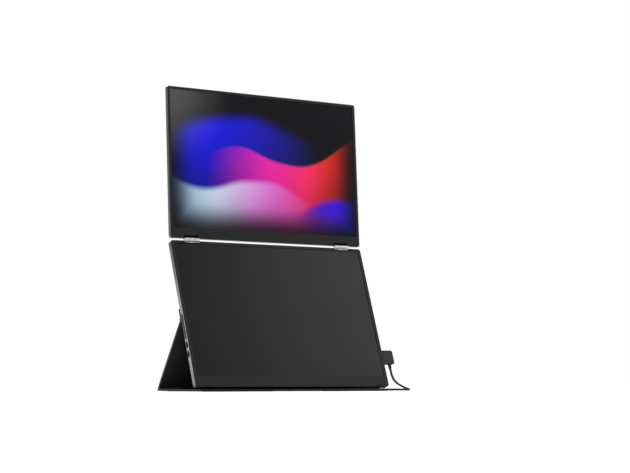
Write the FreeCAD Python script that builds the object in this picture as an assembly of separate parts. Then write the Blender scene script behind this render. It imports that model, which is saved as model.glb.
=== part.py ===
import FreeCAD, Part
import math
import os

# Folding two-panel screen extender, millimetres.
# +X to the right of a person who looks at the screens, +Y away from them, +Z up.
# The origin is on the table, under the middle of the stand.

# Panels: both are the same size, seen from the front
PANEL_W = 355.1
PANEL_H = 237.0
PANEL_CORNER_R = 4.0
SIDE_BORDER = 5.2
TOP_BORDER = 4.6
CHIN_H = 17.0
CELL_MARGIN = 2.0
LED_STRIP_H = 1.4
LED_STRIP_GAP = 0.2
LED_COUNT = 24
LED_SHARE = 0.5
LED_DEPTH_SHARE = 0.7
INSIDE_CLEARANCE = 0.1

# Upper panel, the display
DISPLAY_T = 6.0
DISPLAY_WALL = 1.0
DISPLAY_BEZEL_T = 0.8
DISPLAY_EDGE_R = 1.4
DISPLAY_LAYERS = [("lcd_cell", 1.1), ("film_stack", 0.4), ("light_guide", 2.0), ("reflector", 0.3)]
DISPLAY_TILT = 3.35

# Lower panel, the deck, with the electronics
DECK_T = 9.0
DECK_WALL = 1.2
DECK_BEZEL_T = 0.8
DECK_EDGE_R = 1.5
DECK_LAYERS = [("lcd_cell", 0.9), ("film_stack", 0.3), ("light_guide", 0.8), ("reflector", 0.2)]
DECK_TILT = 19.6
MID_FRAME_T = 0.3
MID_FRAME_SIDE = 12.0
END_CAP_H = 17.5
END_CAP_SEAM = 0.3

# Display hinge: one barrel near each end of the edge between the panels
PANEL_GAP = 3.3
CLOSED_GAP = 1.0
BARREL_R = 3.5
BARREL_LEN = 26.0
BARREL_INSET = 24.5
BARREL_PIN_R = 1.5
UPPER_KNUCKLE_LEN = 9.4
KNUCKLE_GAP = 0.3
RUNNING_CLEARANCE = 0.05
UPPER_RECESS_DEPTH = 5.0
LOWER_RECESS_DEPTH = 2.6
RECESS_SIDE_GAP = 0.4
BRACKET_T = 1.2
UPPER_BRACKET_H = 12.5
LOWER_BRACKET_H = 14.0
LUG_T = 1.6
HINGE_SCREW_R = 1.0
HINGE_SCREW_HEAD_R = 1.8
HINGE_SCREW_HEAD_T = 0.6
HINGE_SCREW_LEN = 2.6
HINGE_SCREW_SPACING = 18.0

# Side face of the deck: heights are along the panel, from its bottom edge
SIDE_LINE_Y = 4.9
SPEAKER_HOLE_R = 0.8
SPEAKER_HOLE_PITCH = 3.48
SPEAKER_HOLES = 11
SPEAKER_HOLE_TOP_INSET = 25.7
SPEAKER_W = 9.0
SPEAKER_T = 3.6
SPEAKER_END = 4.0
SPEAKER_GAP = 0.2
BUTTON_SLOT_LOW = 77.9
BUTTON_SLOT_H = 39.2
BUTTON_SLOT_W = 2.8
BUTTON_CLEARANCE = 0.1
BUTTON_SPACING = 0.4
BUTTON_PROUD = 0.5
BUTTON_TRAVEL = 0.4
BUTTON_FLANGE_T = 0.8
BUTTON_FLANGE_EXTRA = 0.25
BUTTON_FLANGE_GAP = 0.05
BUTTON_NAMES = ["button_power", "button_plus", "button_minus"]
SWITCH_H = 4.0
SWITCH_W = 2.4
SWITCH_T = 1.6
KEY_BOARD_T = 1.0
KEY_BOARD_W = 3.6
SOCKET_LEFT_Z = [("usb_c_socket_left_lower", 53.7), ("usb_c_socket_left_upper", 68.1)]
SOCKET_RIGHT_Z = 56.0
SOCKET_W = 8.94
SOCKET_T = 3.26
SOCKET_DEPTH = 7.3
SOCKET_MOUTH_W = 8.34
SOCKET_MOUTH_T = 2.56
SOCKET_SETBACK = 0.5
SOCKET_BACK_WALL = 0.6
SOCKET_TONGUE_W = 6.69
SOCKET_TONGUE_T = 0.7
SOCKET_TONGUE_LEN = 4.4
SOCKET_WALL_GAP = 0.12

# Boards in the deck
BOARD_T = 1.0
MAIN_BOARD_W = 112.0
MAIN_BOARD_LOW = 40.0
MAIN_BOARD_H = 84.0
MAIN_BOARD_EDGE_GAP = 0.6
CHIPS = [(20.0, 20.0, 14.0, 14.0, 1.1), (50.0, 18.0, 12.0, 12.0, 1.0), (74.0, 16.0, 9.0, 16.0, 1.3),
         (28.0, 52.0, 18.0, 10.0, 1.2), (62.0, 50.0, 10.0, 10.0, 1.0), (90.0, 44.0, 12.0, 20.0, 1.4)]
PORT_BOARD_W = 24.0
PORT_BOARD_H = 26.0
RIBBON_T = 0.2
RIBBON_W = 9.0
DRIVER_BOARD_W = 180.0
DRIVER_BOARD_H = 9.0
DRIVER_BOARD_T = 0.8
DRIVER_BOARD_LOW = 2.6
DRIVER_CHIPS = [12.0, 8.0, 12.0, 8.0, 12.0]
DRIVER_CHIP_T = 0.7
DRIVER_CHIP_MARGIN = 2.0
BOARD_SCREW_R = 1.0
BOARD_SCREW_HEAD_R = 2.0
BOARD_SCREW_HEAD_T = 0.8
BOARD_SCREW_INSET = 5.0
BOARD_BOSS_R = 2.6

# Closing bumpers at the corners of the deck's bezel
BUMPER_L = 10.0
BUMPER_W = 2.2
BUMPER_T = 0.7
BUMPER_INSET = 14.0
BUMPER_EDGE = 1.2

# Stand: leaf on the deck's back, leg plate, base plate
LEAF_FOLD_Z = 111.6
LEAF_H = 16.0
LEAF_TAPE_T = 0.2
LEAF_TAPE_SIDE = 3.0
LEAF_TAPE_LOW = 2.5
LEAF_TAPE_TOP = 1.5
LEAF_T = 2.6
LEG_T = 3.2
BASE_T = 3.0
PAD_T = 0.5
PAD_D = 9.0
PAD_W = 120.0
PAD_INSET = 10.0
BASE_TONGUE = 13.1
FRONT_TAPER_D = 10.1
FRONT_TAPER = 0.8
REAR_HINGE_Y = 113.2
LEG_SKIRT = 3.5
STAND_GAP = 0.15
STAND_KNUCKLE_R = 1.9
STAND_PIN_R = 0.8
STAND_KNUCKLES = 9
STAND_RELIEF = 0.3
STAND_EDGE_R = 1.0
REST_STRIP_T = 0.6
REST_STRIP_SLOPE = 0.06
REST_STRIP_D = 11.0
REST_STRIP_END_INSET = 12.0
REST_POCKET_GAP = 0.6
REST_CLEARANCE = 0.3

# Right-angle plug, cable and coil
CABLE_D = 3.5
PLUG_GAP = 0.4
PLUG_REACH = 22.4
PLUG_TOP = 61.8
PLUG_BOTTOM = 38.9
PLUG_T = 6.6
PLUG_R = 3.0
PLUG_EDGE_R = 1.0
TIP_W = 8.25
TIP_T = 2.4
TIP_LEN = 6.4
TIP_HOLLOW_W = 7.0
TIP_HOLLOW_T = 1.2
TIP_ROOT = 0.4
RELIEF_X = 13.4
RELIEF_LEN = 8.5
RELIEF_R0 = 2.5
RELIEF_R1 = 2.0
RELIEF_GROOVES = 3
RELIEF_GROOVE_PITCH = 2.2
RELIEF_GROOVE_R = 0.35
COIL_CENTRE = (118.0, 120.0)
COIL_OUTER_R = 23.4
COIL_PITCH = 4.15
COIL_TURNS_PER_LAYER = 2
COIL_START_DEG = -90.0
TAIL_R = 60.0
FAR_PLUG_L = 24.0
FAR_PLUG_W = 11.5
FAR_PLUG_T = 6.6
FAR_PLUG_R = 2.2
TIE_W = 6.0
TIE_T = 1.0
TIE_GAP = 0.4

# The cable's route from the strain relief to the coil, chosen by hand
CABLE_LEAD_IN = 9.0
CABLE_POINTS = [
    (193.6, -42.6, 17.6),
    (200.2, -44.4, 11.2),
    (209.4, -44.9, 6.9),
    (219.8, -42.6, 4.0),
    (230.4, -36.0, 2.3),
    (238.2, -25.0, 1.75),
    (242.2, -9.0, 1.75),
    (242.4, 10.5, 1.75),
    (238.4, 33.0, 1.75),
    (229.0, 55.0, 1.75),
    (214.0, 73.2, 1.75),
    (192.4, 86.6, 1.75),
    (167.2, 94.6, 1.75),
    (142.0, 96.6, 1.75),
]

# Values worked out from the sizes above
ACTIVE_W = PANEL_W - 2 * SIDE_BORDER
ACTIVE_H = PANEL_H - CHIN_H - TOP_BORDER
HALF_W = PANEL_W / 2
AXIS_Y = -CLOSED_GAP / 2
AXIS_Z = PANEL_H + PANEL_GAP / 2
BARREL_CENTRES = [("left", -(HALF_W - BARREL_INSET - BARREL_LEN / 2)),
                  ("right", HALF_W - BARREL_INSET - BARREL_LEN / 2)]
BASE_TOP = PAD_T + BASE_T
LEAF_BACK = DECK_T + LEAF_TAPE_T + LEAF_T
DECK_SIN = math.sin(math.radians(DECK_TILT))
DECK_COS = math.cos(math.radians(DECK_TILT))
REST_LINE_Y = (DECK_T - DECK_EDGE_R) * DECK_COS + DECK_EDGE_R * DECK_SIN
DECK_FOOT_Z = (BASE_TOP + REST_STRIP_T + REST_CLEARANCE
               + (DECK_T - DECK_EDGE_R) * DECK_SIN - DECK_EDGE_R * DECK_COS + DECK_EDGE_R)
SPEAKER_HOLE_LOW = PANEL_H - SPEAKER_HOLE_TOP_INSET - (SPEAKER_HOLES - 1) * SPEAKER_HOLE_PITCH
BUTTON_H = (BUTTON_SLOT_H - 2 * BUTTON_CLEARANCE - 2 * BUTTON_SPACING) / 3
SOCKET_BOARD_Y = SIDE_LINE_Y + SOCKET_T / 2


def box(x0, x1, y0, y1, z0, z1):
    return Part.makeBox(x1 - x0, y1 - y0, z1 - z0, FreeCAD.Vector(x0, y0, z0))


def rounded_slab(half_w, z0, z1, y0, y1, r):
    """A plate in the XZ plane with rounded corners, from y0 to y1."""
    v = FreeCAD.Vector
    k = r * (1 - math.sqrt(0.5))
    edges = [
        Part.LineSegment(v(-half_w + r, y0, z0), v(half_w - r, y0, z0)),
        Part.Arc(v(half_w - r, y0, z0), v(half_w - k, y0, z0 + k), v(half_w, y0, z0 + r)),
        Part.LineSegment(v(half_w, y0, z0 + r), v(half_w, y0, z1 - r)),
        Part.Arc(v(half_w, y0, z1 - r), v(half_w - k, y0, z1 - k), v(half_w - r, y0, z1)),
        Part.LineSegment(v(half_w - r, y0, z1), v(-half_w + r, y0, z1)),
        Part.Arc(v(-half_w + r, y0, z1), v(-half_w + k, y0, z1 - k), v(-half_w, y0, z1 - r)),
        Part.LineSegment(v(-half_w, y0, z1 - r), v(-half_w, y0, z0 + r)),
        Part.Arc(v(-half_w, y0, z0 + r), v(-half_w + k, y0, z0 + k), v(-half_w + r, y0, z0)),
    ]
    wire = Part.Wire([e.toShape() for e in edges])
    return Part.Face(wire).extrude(v(0, y1 - y0, 0))


def cylinder_x(x0, x1, y, z, r):
    return Part.makeCylinder(r, x1 - x0, FreeCAD.Vector(x0, y, z), FreeCAD.Vector(1, 0, 0))


def cylinder_y(x, y0, y1, z, r):
    return Part.makeCylinder(r, y1 - y0, FreeCAD.Vector(x, y0, z), FreeCAD.Vector(0, 1, 0))


def stadium_x(x0, x1, y, z, width, thick):
    """A bar along X whose section is a stadium: long along Z, round at both ends."""
    r = thick / 2
    half = width / 2 - r
    middle = box(x0, x1, y - r, y + r, z - half, z + half)
    ends = [cylinder_x(x0, x1, y, z - half, r), cylinder_x(x0, x1, y, z + half, r)]
    return middle.fuse(ends).removeSplitter()


def fillet_edges(shape, radius, wanted):
    edges = [e for e in shape.Edges if wanted(e)]
    return shape.makeFillet(radius, edges)


def edge_at_y(y):
    return lambda e: abs(e.BoundBox.YMin - y) < 1e-6 and abs(e.BoundBox.YMax - y) < 1e-6


def hinge_screw_places(x_centre, z):
    return [(x_centre - HINGE_SCREW_SPACING / 2, z), (x_centre + HINGE_SCREW_SPACING / 2, z)]


def countersunk_screw(x, z, y_head, length):
    head = cylinder_y(x, y_head, y_head + HINGE_SCREW_HEAD_T, z, HINGE_SCREW_HEAD_R)
    recess = cylinder_y(x, y_head, y_head + HINGE_SCREW_HEAD_T / 2, z, HINGE_SCREW_HEAD_R / 3)
    shank = cylinder_y(x, y_head + HINGE_SCREW_HEAD_T, y_head + length, z, HINGE_SCREW_R)
    return head.cut(recess).fuse(shank)


def layer_stack(prefix, layers, front):
    """The layers behind a bezel, from the front: cell, films, light guide and reflector."""
    nodes = {}
    y = front
    low = CHIN_H - CELL_MARGIN
    high = CHIN_H + ACTIVE_H + CELL_MARGIN
    half = ACTIVE_W / 2 + CELL_MARGIN
    for name, thick in layers:
        bottom = low
        if name == "light_guide":
            bottom = low + LED_STRIP_H + LED_STRIP_GAP
            nodes[prefix + "_led_strip"] = led_strip(half, low, y, thick)
        nodes[prefix + "_" + name] = box(-half, half, y, y + thick, bottom, high)
        y += thick
    return nodes, y


def led_strip(half, low, y, thick):
    """A narrow strip along the bottom edge of the light guide, with a row of LEDs."""
    back = y + thick * LED_DEPTH_SHARE
    backing = box(-half, half, back, y + thick, low, low + LED_STRIP_H)
    lamps = []
    pitch = 2 * half / LED_COUNT
    lamp_w = pitch * LED_SHARE
    for i in range(LED_COUNT):
        x = -half + pitch * (i + 0.5)
        lamps.append(box(x - lamp_w / 2, x + lamp_w / 2, y, back, low, low + LED_STRIP_H))
    return backing.fuse(lamps)


def bezel_frame(half_w, z0, z1, r, thick):
    frame = rounded_slab(half_w, z0, z1, 0, thick, r)
    window = box(-ACTIVE_W / 2, ACTIVE_W / 2, -1, thick + 1, CHIN_H, CHIN_H + ACTIVE_H)
    return frame.cut(window)


def driver_board(y_back):
    """The narrow board in the chin that drives the panel, with its chips."""
    y1 = y_back
    y0 = y1 - DRIVER_BOARD_T
    z0 = DRIVER_BOARD_LOW
    half = DRIVER_BOARD_W / 2
    chip_z0 = z0 + DRIVER_CHIP_MARGIN
    chip_z1 = z0 + DRIVER_BOARD_H - DRIVER_CHIP_MARGIN
    parts = []
    for i, width in enumerate(DRIVER_CHIPS):
        x = -half + DRIVER_BOARD_W * (i + 0.5) / len(DRIVER_CHIPS)
        parts.append(box(x - width / 2, x + width / 2, y0 - DRIVER_CHIP_T, y0, chip_z0, chip_z1))
    return box(-half, half, y0, y1, z0, z0 + DRIVER_BOARD_H).fuse(parts)


def recess_boxes(y0, y1, z0, z1):
    half = BARREL_LEN / 2 + RECESS_SIDE_GAP
    return [box(x - half, x + half, y0, y1, z0, z1) for _, x in BARREL_CENTRES]


def knuckle(x0, x1, axis_y, axis_z, bore_r):
    return cylinder_x(x0, x1, axis_y, axis_z, BARREL_R).cut(cylinder_x(x0, x1, axis_y, axis_z, bore_r))


# Upper panel, in its own frame: x across, y = 0 at its front, z = 0 at its bottom edge
def display_parts():
    nodes = {}
    inner_back = DISPLAY_T - DISPLAY_WALL
    layers, stack_end = layer_stack("display", DISPLAY_LAYERS, DISPLAY_BEZEL_T)
    nodes.update(layers)

    shell = rounded_slab(HALF_W, 0, PANEL_H, 0, DISPLAY_T, PANEL_CORNER_R)
    shell = fillet_edges(shell, DISPLAY_EDGE_R, edge_at_y(DISPLAY_T))
    inner = rounded_slab(HALF_W - DISPLAY_WALL, DISPLAY_WALL, PANEL_H - DISPLAY_WALL, -1, inner_back,
                         PANEL_CORNER_R - DISPLAY_WALL)
    shell = shell.cut(inner)
    recess_back = BARREL_R + AXIS_Y + RECESS_SIDE_GAP
    recesses = recess_boxes(-1, recess_back, -1, UPPER_RECESS_DEPTH)
    boss_y = DISPLAY_BEZEL_T + INSIDE_CLEARANCE + BRACKET_T
    boss_half = BARREL_LEN / 2
    screws = []
    for side, x in BARREL_CENTRES:
        boss = box(x - boss_half, x + boss_half, boss_y, inner_back, DISPLAY_WALL, UPPER_BRACKET_H)
        shell = shell.fuse(boss)
    shell = shell.cut(recesses)

    bezel_half = HALF_W - DISPLAY_WALL - INSIDE_CLEARANCE
    bezel_edge = DISPLAY_WALL + INSIDE_CLEARANCE
    bezel = bezel_frame(bezel_half, bezel_edge, PANEL_H - bezel_edge,
                        PANEL_CORNER_R - DISPLAY_WALL - INSIDE_CLEARANCE, DISPLAY_BEZEL_T)
    nodes["display_bezel"] = bezel.cut(recess_boxes(-1, DISPLAY_T, -1, UPPER_RECESS_DEPTH))

    axis_z = -PANEL_GAP / 2
    plate_y0 = DISPLAY_BEZEL_T + INSIDE_CLEARANCE
    plate_y1 = plate_y0 + BRACKET_T
    screw_z = UPPER_RECESS_DEPTH + (UPPER_BRACKET_H - UPPER_RECESS_DEPTH) / 2
    for side, x in BARREL_CENTRES:
        k = UPPER_KNUCKLE_LEN / 2
        leaf = box(x - boss_half, x + boss_half, plate_y0, plate_y1, UPPER_RECESS_DEPTH, UPPER_BRACKET_H)
        arm = box(x - k, x + k, plate_y0, plate_y1, axis_z, UPPER_RECESS_DEPTH + 1)
        arm = arm.cut(cylinder_x(x - k, x + k, AXIS_Y, axis_z, BARREL_PIN_R + RUNNING_CLEARANCE))
        bracket = knuckle(x - k, x + k, AXIS_Y, axis_z, BARREL_PIN_R + RUNNING_CLEARANCE)
        bracket = bracket.fuse([leaf, arm])
        for sx, sz in hinge_screw_places(x, screw_z):
            screw = countersunk_screw(sx, sz, plate_y0, HINGE_SCREW_LEN)
            solid_screw = screw.fuse(cylinder_y(sx, plate_y0, plate_y0 + HINGE_SCREW_HEAD_T, sz,
                                                HINGE_SCREW_HEAD_R))
            bracket = bracket.cut(solid_screw)
            shell = shell.cut(solid_screw)
            screws.append(screw)
        nodes["hinge_bracket_upper_" + side] = bracket.removeSplitter()
        shell = shell.cut(box(x - k - RECESS_SIDE_GAP, x + k + RECESS_SIDE_GAP, 0, recess_back, -1,
                              UPPER_RECESS_DEPTH + INSIDE_CLEARANCE))
    nodes["hinge_screws_upper"] = Part.makeCompound(screws)
    nodes["display_back_shell"] = shell.removeSplitter()

    board_back = inner_back - INSIDE_CLEARANCE
    nodes["display_driver_board"] = driver_board(board_back)
    cable_z = DRIVER_BOARD_LOW + (DRIVER_BOARD_H - RIBBON_W) / 2
    left_boss_end = BARREL_CENTRES[0][1] + boss_half
    nodes["display_signal_ribbon"] = box(left_boss_end + INSIDE_CLEARANCE, -DRIVER_BOARD_W / 2,
                                         board_back - RIBBON_T, board_back, cable_z, cable_z + RIBBON_W)
    return nodes


# Lower panel, in its own frame: x across, y = 0 at its front, z = 0 at its bottom edge
def deck_parts():
    nodes = {}
    layers, stack_end = layer_stack("deck", DECK_LAYERS, DECK_BEZEL_T)
    nodes.update(layers)
    nodes.update(deck_housing())
    nodes.update(deck_hinges(nodes))
    nodes.update(deck_boards())
    nodes.update(deck_sockets())
    nodes.update(deck_side_controls())
    frame_half = HALF_W - DECK_WALL - MID_FRAME_SIDE
    nodes["deck_mid_frame"] = box(-frame_half, frame_half, stack_end, stack_end + MID_FRAME_T,
                                  CHIN_H - CELL_MARGIN, CHIN_H + ACTIVE_H + CELL_MARGIN)
    nodes["deck_driver_board"] = driver_board(DECK_T - DECK_WALL - INSIDE_CLEARANCE)
    bumpers = []
    for sx in (-1, 1):
        for z in (BUMPER_EDGE, PANEL_H - BUMPER_EDGE - BUMPER_W):
            x = sx * (HALF_W - BUMPER_INSET - BUMPER_L / 2)
            bumpers.append(box(x - BUMPER_L / 2, x + BUMPER_L / 2, -BUMPER_T, 0, z, z + BUMPER_W))
    nodes["deck_bumpers"] = Part.makeCompound(bumpers)
    return nodes


def deck_housing():
    outer = rounded_slab(HALF_W, 0, PANEL_H, DECK_BEZEL_T, DECK_T, PANEL_CORNER_R)
    outer = fillet_edges(outer, DECK_EDGE_R, edge_at_y(DECK_T))
    inner = rounded_slab(HALF_W - DECK_WALL, DECK_WALL, PANEL_H - DECK_WALL, 0, DECK_T - DECK_WALL,
                         PANEL_CORNER_R - DECK_WALL)
    tray = outer.cut(inner)
    tray = tray.cut(recess_boxes(-1, DECK_T - DECK_WALL, PANEL_H - LOWER_RECESS_DEPTH, PANEL_H + 1))
    for sx in (-1, 1):
        x0, x1 = sorted((sx * (HALF_W - 2 * DECK_WALL), sx * (HALF_W + 1)))
        for i in range(SPEAKER_HOLES):
            z = SPEAKER_HOLE_LOW + i * SPEAKER_HOLE_PITCH
            tray = tray.cut(cylinder_x(x0, x1, SIDE_LINE_Y, z, SPEAKER_HOLE_R))
    slot_mid = BUTTON_SLOT_LOW + BUTTON_SLOT_H / 2
    tray = tray.cut(stadium_x(-HALF_W - 1, -HALF_W + 2 * DECK_WALL, SIDE_LINE_Y, slot_mid,
                              BUTTON_SLOT_H, BUTTON_SLOT_W))
    mouth_w = SOCKET_W + 2 * SOCKET_WALL_GAP
    mouth_t = SOCKET_T + 2 * SOCKET_WALL_GAP
    for _, z in SOCKET_LEFT_Z:
        tray = tray.cut(stadium_x(-HALF_W - 1, -HALF_W + 2 * DECK_WALL, SIDE_LINE_Y, z, mouth_w, mouth_t))
    tray = tray.cut(stadium_x(HALF_W - 2 * DECK_WALL, HALF_W + 1, SIDE_LINE_Y, SOCKET_RIGHT_Z,
                              mouth_w, mouth_t))
    upper = box(-PANEL_W, PANEL_W, -1, DECK_T + 1, END_CAP_H + END_CAP_SEAM, PANEL_H + 1)
    lower = box(-PANEL_W, PANEL_W, -1, DECK_T + 1, -1, END_CAP_H)
    bosses = []
    for x, z in board_screw_places():
        bosses.append(cylinder_y(x, SOCKET_BOARD_Y + BOARD_T, DECK_T - DECK_WALL, z, BOARD_BOSS_R))
    back = tray.common(upper).fuse(bosses)
    for x, z in board_screw_places():
        back = back.cut(cylinder_y(x, SOCKET_BOARD_Y, DECK_T - DECK_WALL, z, BOARD_SCREW_R))
    bezel = bezel_frame(HALF_W, 0, PANEL_H, PANEL_CORNER_R, DECK_BEZEL_T)
    bezel = bezel.cut(recess_boxes(-1, DECK_T, PANEL_H - LOWER_RECESS_DEPTH, PANEL_H + 1))
    return {"deck_back_shell": back, "deck_bottom_cap": tray.common(lower), "deck_bezel": bezel}


def deck_hinges(nodes):
    """Lower brackets: a knuckle at each end of the barrel, a lug over the edge and a plate inside."""
    result = {}
    shell = nodes["deck_back_shell"]
    screws = []
    plate_y1 = DECK_T - DECK_WALL
    plate_y0 = plate_y1 - BRACKET_T
    half = BARREL_LEN / 2
    inner_half = UPPER_KNUCKLE_LEN / 2 + KNUCKLE_GAP
    lug_low = PANEL_H - LOWER_RECESS_DEPTH + INSIDE_CLEARANCE
    lug_high = lug_low + LUG_T
    screw_z = PANEL_H - LOWER_BRACKET_H + (LOWER_BRACKET_H - LOWER_RECESS_DEPTH) / 2
    for side, x in BARREL_CENTRES:
        pieces = []
        for x0, x1 in ((x - half, x - inner_half), (x + inner_half, x + half)):
            pieces.append(cylinder_x(x0, x1, AXIS_Y, AXIS_Z, BARREL_R))
            pieces.append(box(x0, x1, AXIS_Y, plate_y1, lug_low, lug_high))
        pieces.append(box(x - half, x + half, plate_y0, plate_y1, PANEL_H - LOWER_BRACKET_H, lug_high))
        bracket = pieces[0].fuse(pieces[1:])
        bracket = bracket.cut(cylinder_x(x - half, x + half, AXIS_Y, AXIS_Z, BARREL_PIN_R))
        for sx, sz in hinge_screw_places(x, screw_z):
            screw = countersunk_screw(sx, sz, plate_y0, BRACKET_T + DECK_WALL * 0.6)
            hole = cylinder_y(sx, plate_y0, plate_y0 + HINGE_SCREW_HEAD_T, sz, HINGE_SCREW_HEAD_R)
            bracket = bracket.cut(screw.fuse(hole))
            shell = shell.cut(screw.fuse(hole))
            screws.append(screw)
        result["hinge_bracket_lower_" + side] = bracket.removeSplitter()
        result["hinge_pin_" + side] = cylinder_x(x - half, x + half, AXIS_Y, AXIS_Z, BARREL_PIN_R)
    result["hinge_screws_lower"] = Part.makeCompound(screws)
    result["deck_back_shell"] = shell.removeSplitter()
    return result


def board_screw_places():
    x0 = -(HALF_W - DECK_WALL - MAIN_BOARD_EDGE_GAP)
    x1 = x0 + MAIN_BOARD_W
    places = []
    for x in (x0 + 5 * BOARD_SCREW_INSET, x1 - BOARD_SCREW_INSET):
        for z in (MAIN_BOARD_LOW + BOARD_SCREW_INSET, MAIN_BOARD_LOW + MAIN_BOARD_H - BOARD_SCREW_INSET):
            places.append((x, z))
    x_right = HALF_W - DECK_WALL - MAIN_BOARD_EDGE_GAP - PORT_BOARD_W + BOARD_SCREW_INSET
    places.append((x_right, SOCKET_RIGHT_Z))
    return places


def deck_boards():
    nodes = {}
    y0 = SOCKET_BOARD_Y
    y1 = y0 + BOARD_T
    x0 = -(HALF_W - DECK_WALL - MAIN_BOARD_EDGE_GAP)
    x1 = x0 + MAIN_BOARD_W
    z0 = MAIN_BOARD_LOW
    board = box(x0, x1, y0, y1, z0, z0 + MAIN_BOARD_H)
    chips = [box(x0 + cx, x0 + cx + w, y0 - t, y0, z0 + cz, z0 + cz + h) for cx, cz, w, h, t in CHIPS]
    board = board.fuse(chips)
    port_x1 = HALF_W - DECK_WALL - MAIN_BOARD_EDGE_GAP
    port_x0 = port_x1 - PORT_BOARD_W
    port_z0 = SOCKET_RIGHT_Z - PORT_BOARD_H / 2
    port_board = box(port_x0, port_x1, y0, y1, port_z0, port_z0 + PORT_BOARD_H)
    screws = []
    for x, z in board_screw_places():
        board = board.cut(cylinder_y(x, y0, y1, z, BOARD_SCREW_R))
        port_board = port_board.cut(cylinder_y(x, y0, y1, z, BOARD_SCREW_R))
        head = cylinder_y(x, y0 - BOARD_SCREW_HEAD_T, y0, z, BOARD_SCREW_HEAD_R)
        drive = cylinder_y(x, y0 - BOARD_SCREW_HEAD_T, y0 - BOARD_SCREW_HEAD_T / 2, z,
                           BOARD_SCREW_HEAD_R / 3)
        shank = cylinder_y(x, y0, DECK_T - DECK_WALL, z, BOARD_SCREW_R)
        screws.append(head.cut(drive).fuse(shank))
    nodes["main_board"] = board
    nodes["port_board"] = port_board
    nodes["board_screws"] = Part.makeCompound(screws)
    ribbon_z = SOCKET_RIGHT_Z - PORT_BOARD_H / 2
    nodes["port_ribbon"] = box(x1, port_x0, y0, y0 + RIBBON_T, ribbon_z, ribbon_z + RIBBON_W)
    return nodes


def socket_shape(side, z):
    """A USB-C receptacle: side is -1 on the left and 1 on the right."""
    mouth_x = HALF_W - SOCKET_SETBACK
    back_x = mouth_x - SOCKET_DEPTH
    outer = stadium_x(back_x, mouth_x, SIDE_LINE_Y, z, SOCKET_W, SOCKET_T)
    cavity = stadium_x(back_x + SOCKET_BACK_WALL, mouth_x + 1, SIDE_LINE_Y, z, SOCKET_MOUTH_W,
                       SOCKET_MOUTH_T)
    tongue = box(back_x + SOCKET_BACK_WALL / 2, back_x + SOCKET_BACK_WALL + SOCKET_TONGUE_LEN,
                 SIDE_LINE_Y - SOCKET_TONGUE_T / 2, SIDE_LINE_Y + SOCKET_TONGUE_T / 2,
                 z - SOCKET_TONGUE_W / 2, z + SOCKET_TONGUE_W / 2)
    socket = outer.cut(cavity).fuse(tongue).removeSplitter()
    if side < 0:
        socket = socket.mirror(FreeCAD.Vector(0, 0, 0), FreeCAD.Vector(1, 0, 0))
    return socket


def deck_sockets():
    nodes = {name: socket_shape(-1, z) for name, z in SOCKET_LEFT_Z}
    nodes["usb_c_socket_right"] = socket_shape(1, SOCKET_RIGHT_Z)
    return nodes


def deck_side_controls():
    nodes = {}
    wall_x = -(HALF_W - DECK_WALL)
    flange_x0 = wall_x + BUTTON_FLANGE_GAP
    flange_x1 = flange_x0 + BUTTON_FLANGE_T
    switch_x0 = flange_x1 + BUTTON_TRAVEL + BUTTON_FLANGE_GAP
    board_x0 = switch_x0 + SWITCH_T
    switches = []
    for i, name in enumerate(BUTTON_NAMES):
        z0 = BUTTON_SLOT_LOW + BUTTON_CLEARANCE + i * (BUTTON_H + BUTTON_SPACING)
        z = z0 + BUTTON_H / 2
        cap_t = BUTTON_SLOT_W - 2 * BUTTON_CLEARANCE
        cap = stadium_x(-HALF_W - BUTTON_PROUD, flange_x0, SIDE_LINE_Y, z, BUTTON_H, cap_t)
        flange_half = cap_t / 2 + BUTTON_FLANGE_EXTRA
        flange = box(flange_x0, flange_x1, SIDE_LINE_Y - flange_half, SIDE_LINE_Y + flange_half,
                     z0, z0 + BUTTON_H)
        nodes[name] = cap.fuse(flange)
        body = box(switch_x0 + SWITCH_T / 3, board_x0, SIDE_LINE_Y - SWITCH_W / 2,
                   SIDE_LINE_Y + SWITCH_W / 2, z - SWITCH_H / 2, z + SWITCH_H / 2)
        plunger = cylinder_x(switch_x0, switch_x0 + SWITCH_T / 3, SIDE_LINE_Y, z, SWITCH_W / 3)
        switches.append(body.fuse(plunger))
    nodes["key_switches"] = Part.makeCompound(switches)
    nodes["key_board"] = box(board_x0, board_x0 + KEY_BOARD_T, SOCKET_BOARD_Y - KEY_BOARD_W * 0.85,
                             SOCKET_BOARD_Y, BUTTON_SLOT_LOW, BUTTON_SLOT_LOW + BUTTON_SLOT_H)
    row = (SPEAKER_HOLES - 1) * SPEAKER_HOLE_PITCH
    z0 = SPEAKER_HOLE_LOW - SPEAKER_END
    z1 = SPEAKER_HOLE_LOW + row + SPEAKER_END
    back = DECK_T - DECK_WALL
    for side, sx in (("left", -1), ("right", 1)):
        x_out = HALF_W - DECK_WALL - SPEAKER_GAP
        cabinet = box(x_out - SPEAKER_W, x_out, back - SPEAKER_T, back, z0, z1)
        port = box(x_out - 1.0, x_out + 1, SIDE_LINE_Y, back - 1.0, z0 + 3, z1 - 3)
        cabinet = cabinet.cut(port)
        if sx < 0:
            cabinet = cabinet.mirror(FreeCAD.Vector(0, 0, 0), FreeCAD.Vector(1, 0, 0))
        nodes["speaker_" + side] = cabinet
    return nodes


# Stand: the leaf, in the deck's frame; the leg and the base are placed by their hinge axes
def knuckle_spans(moving):
    """The spans along X of every second knuckle: the outer ones belong to the fixed side."""
    pitch = PANEL_W / STAND_KNUCKLES
    spans = []
    for i in range(STAND_KNUCKLES):
        if (i % 2 == 1) == moving:
            x0 = -HALF_W + i * pitch
            spans.append((x0, x0 + pitch))
    return spans


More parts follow.
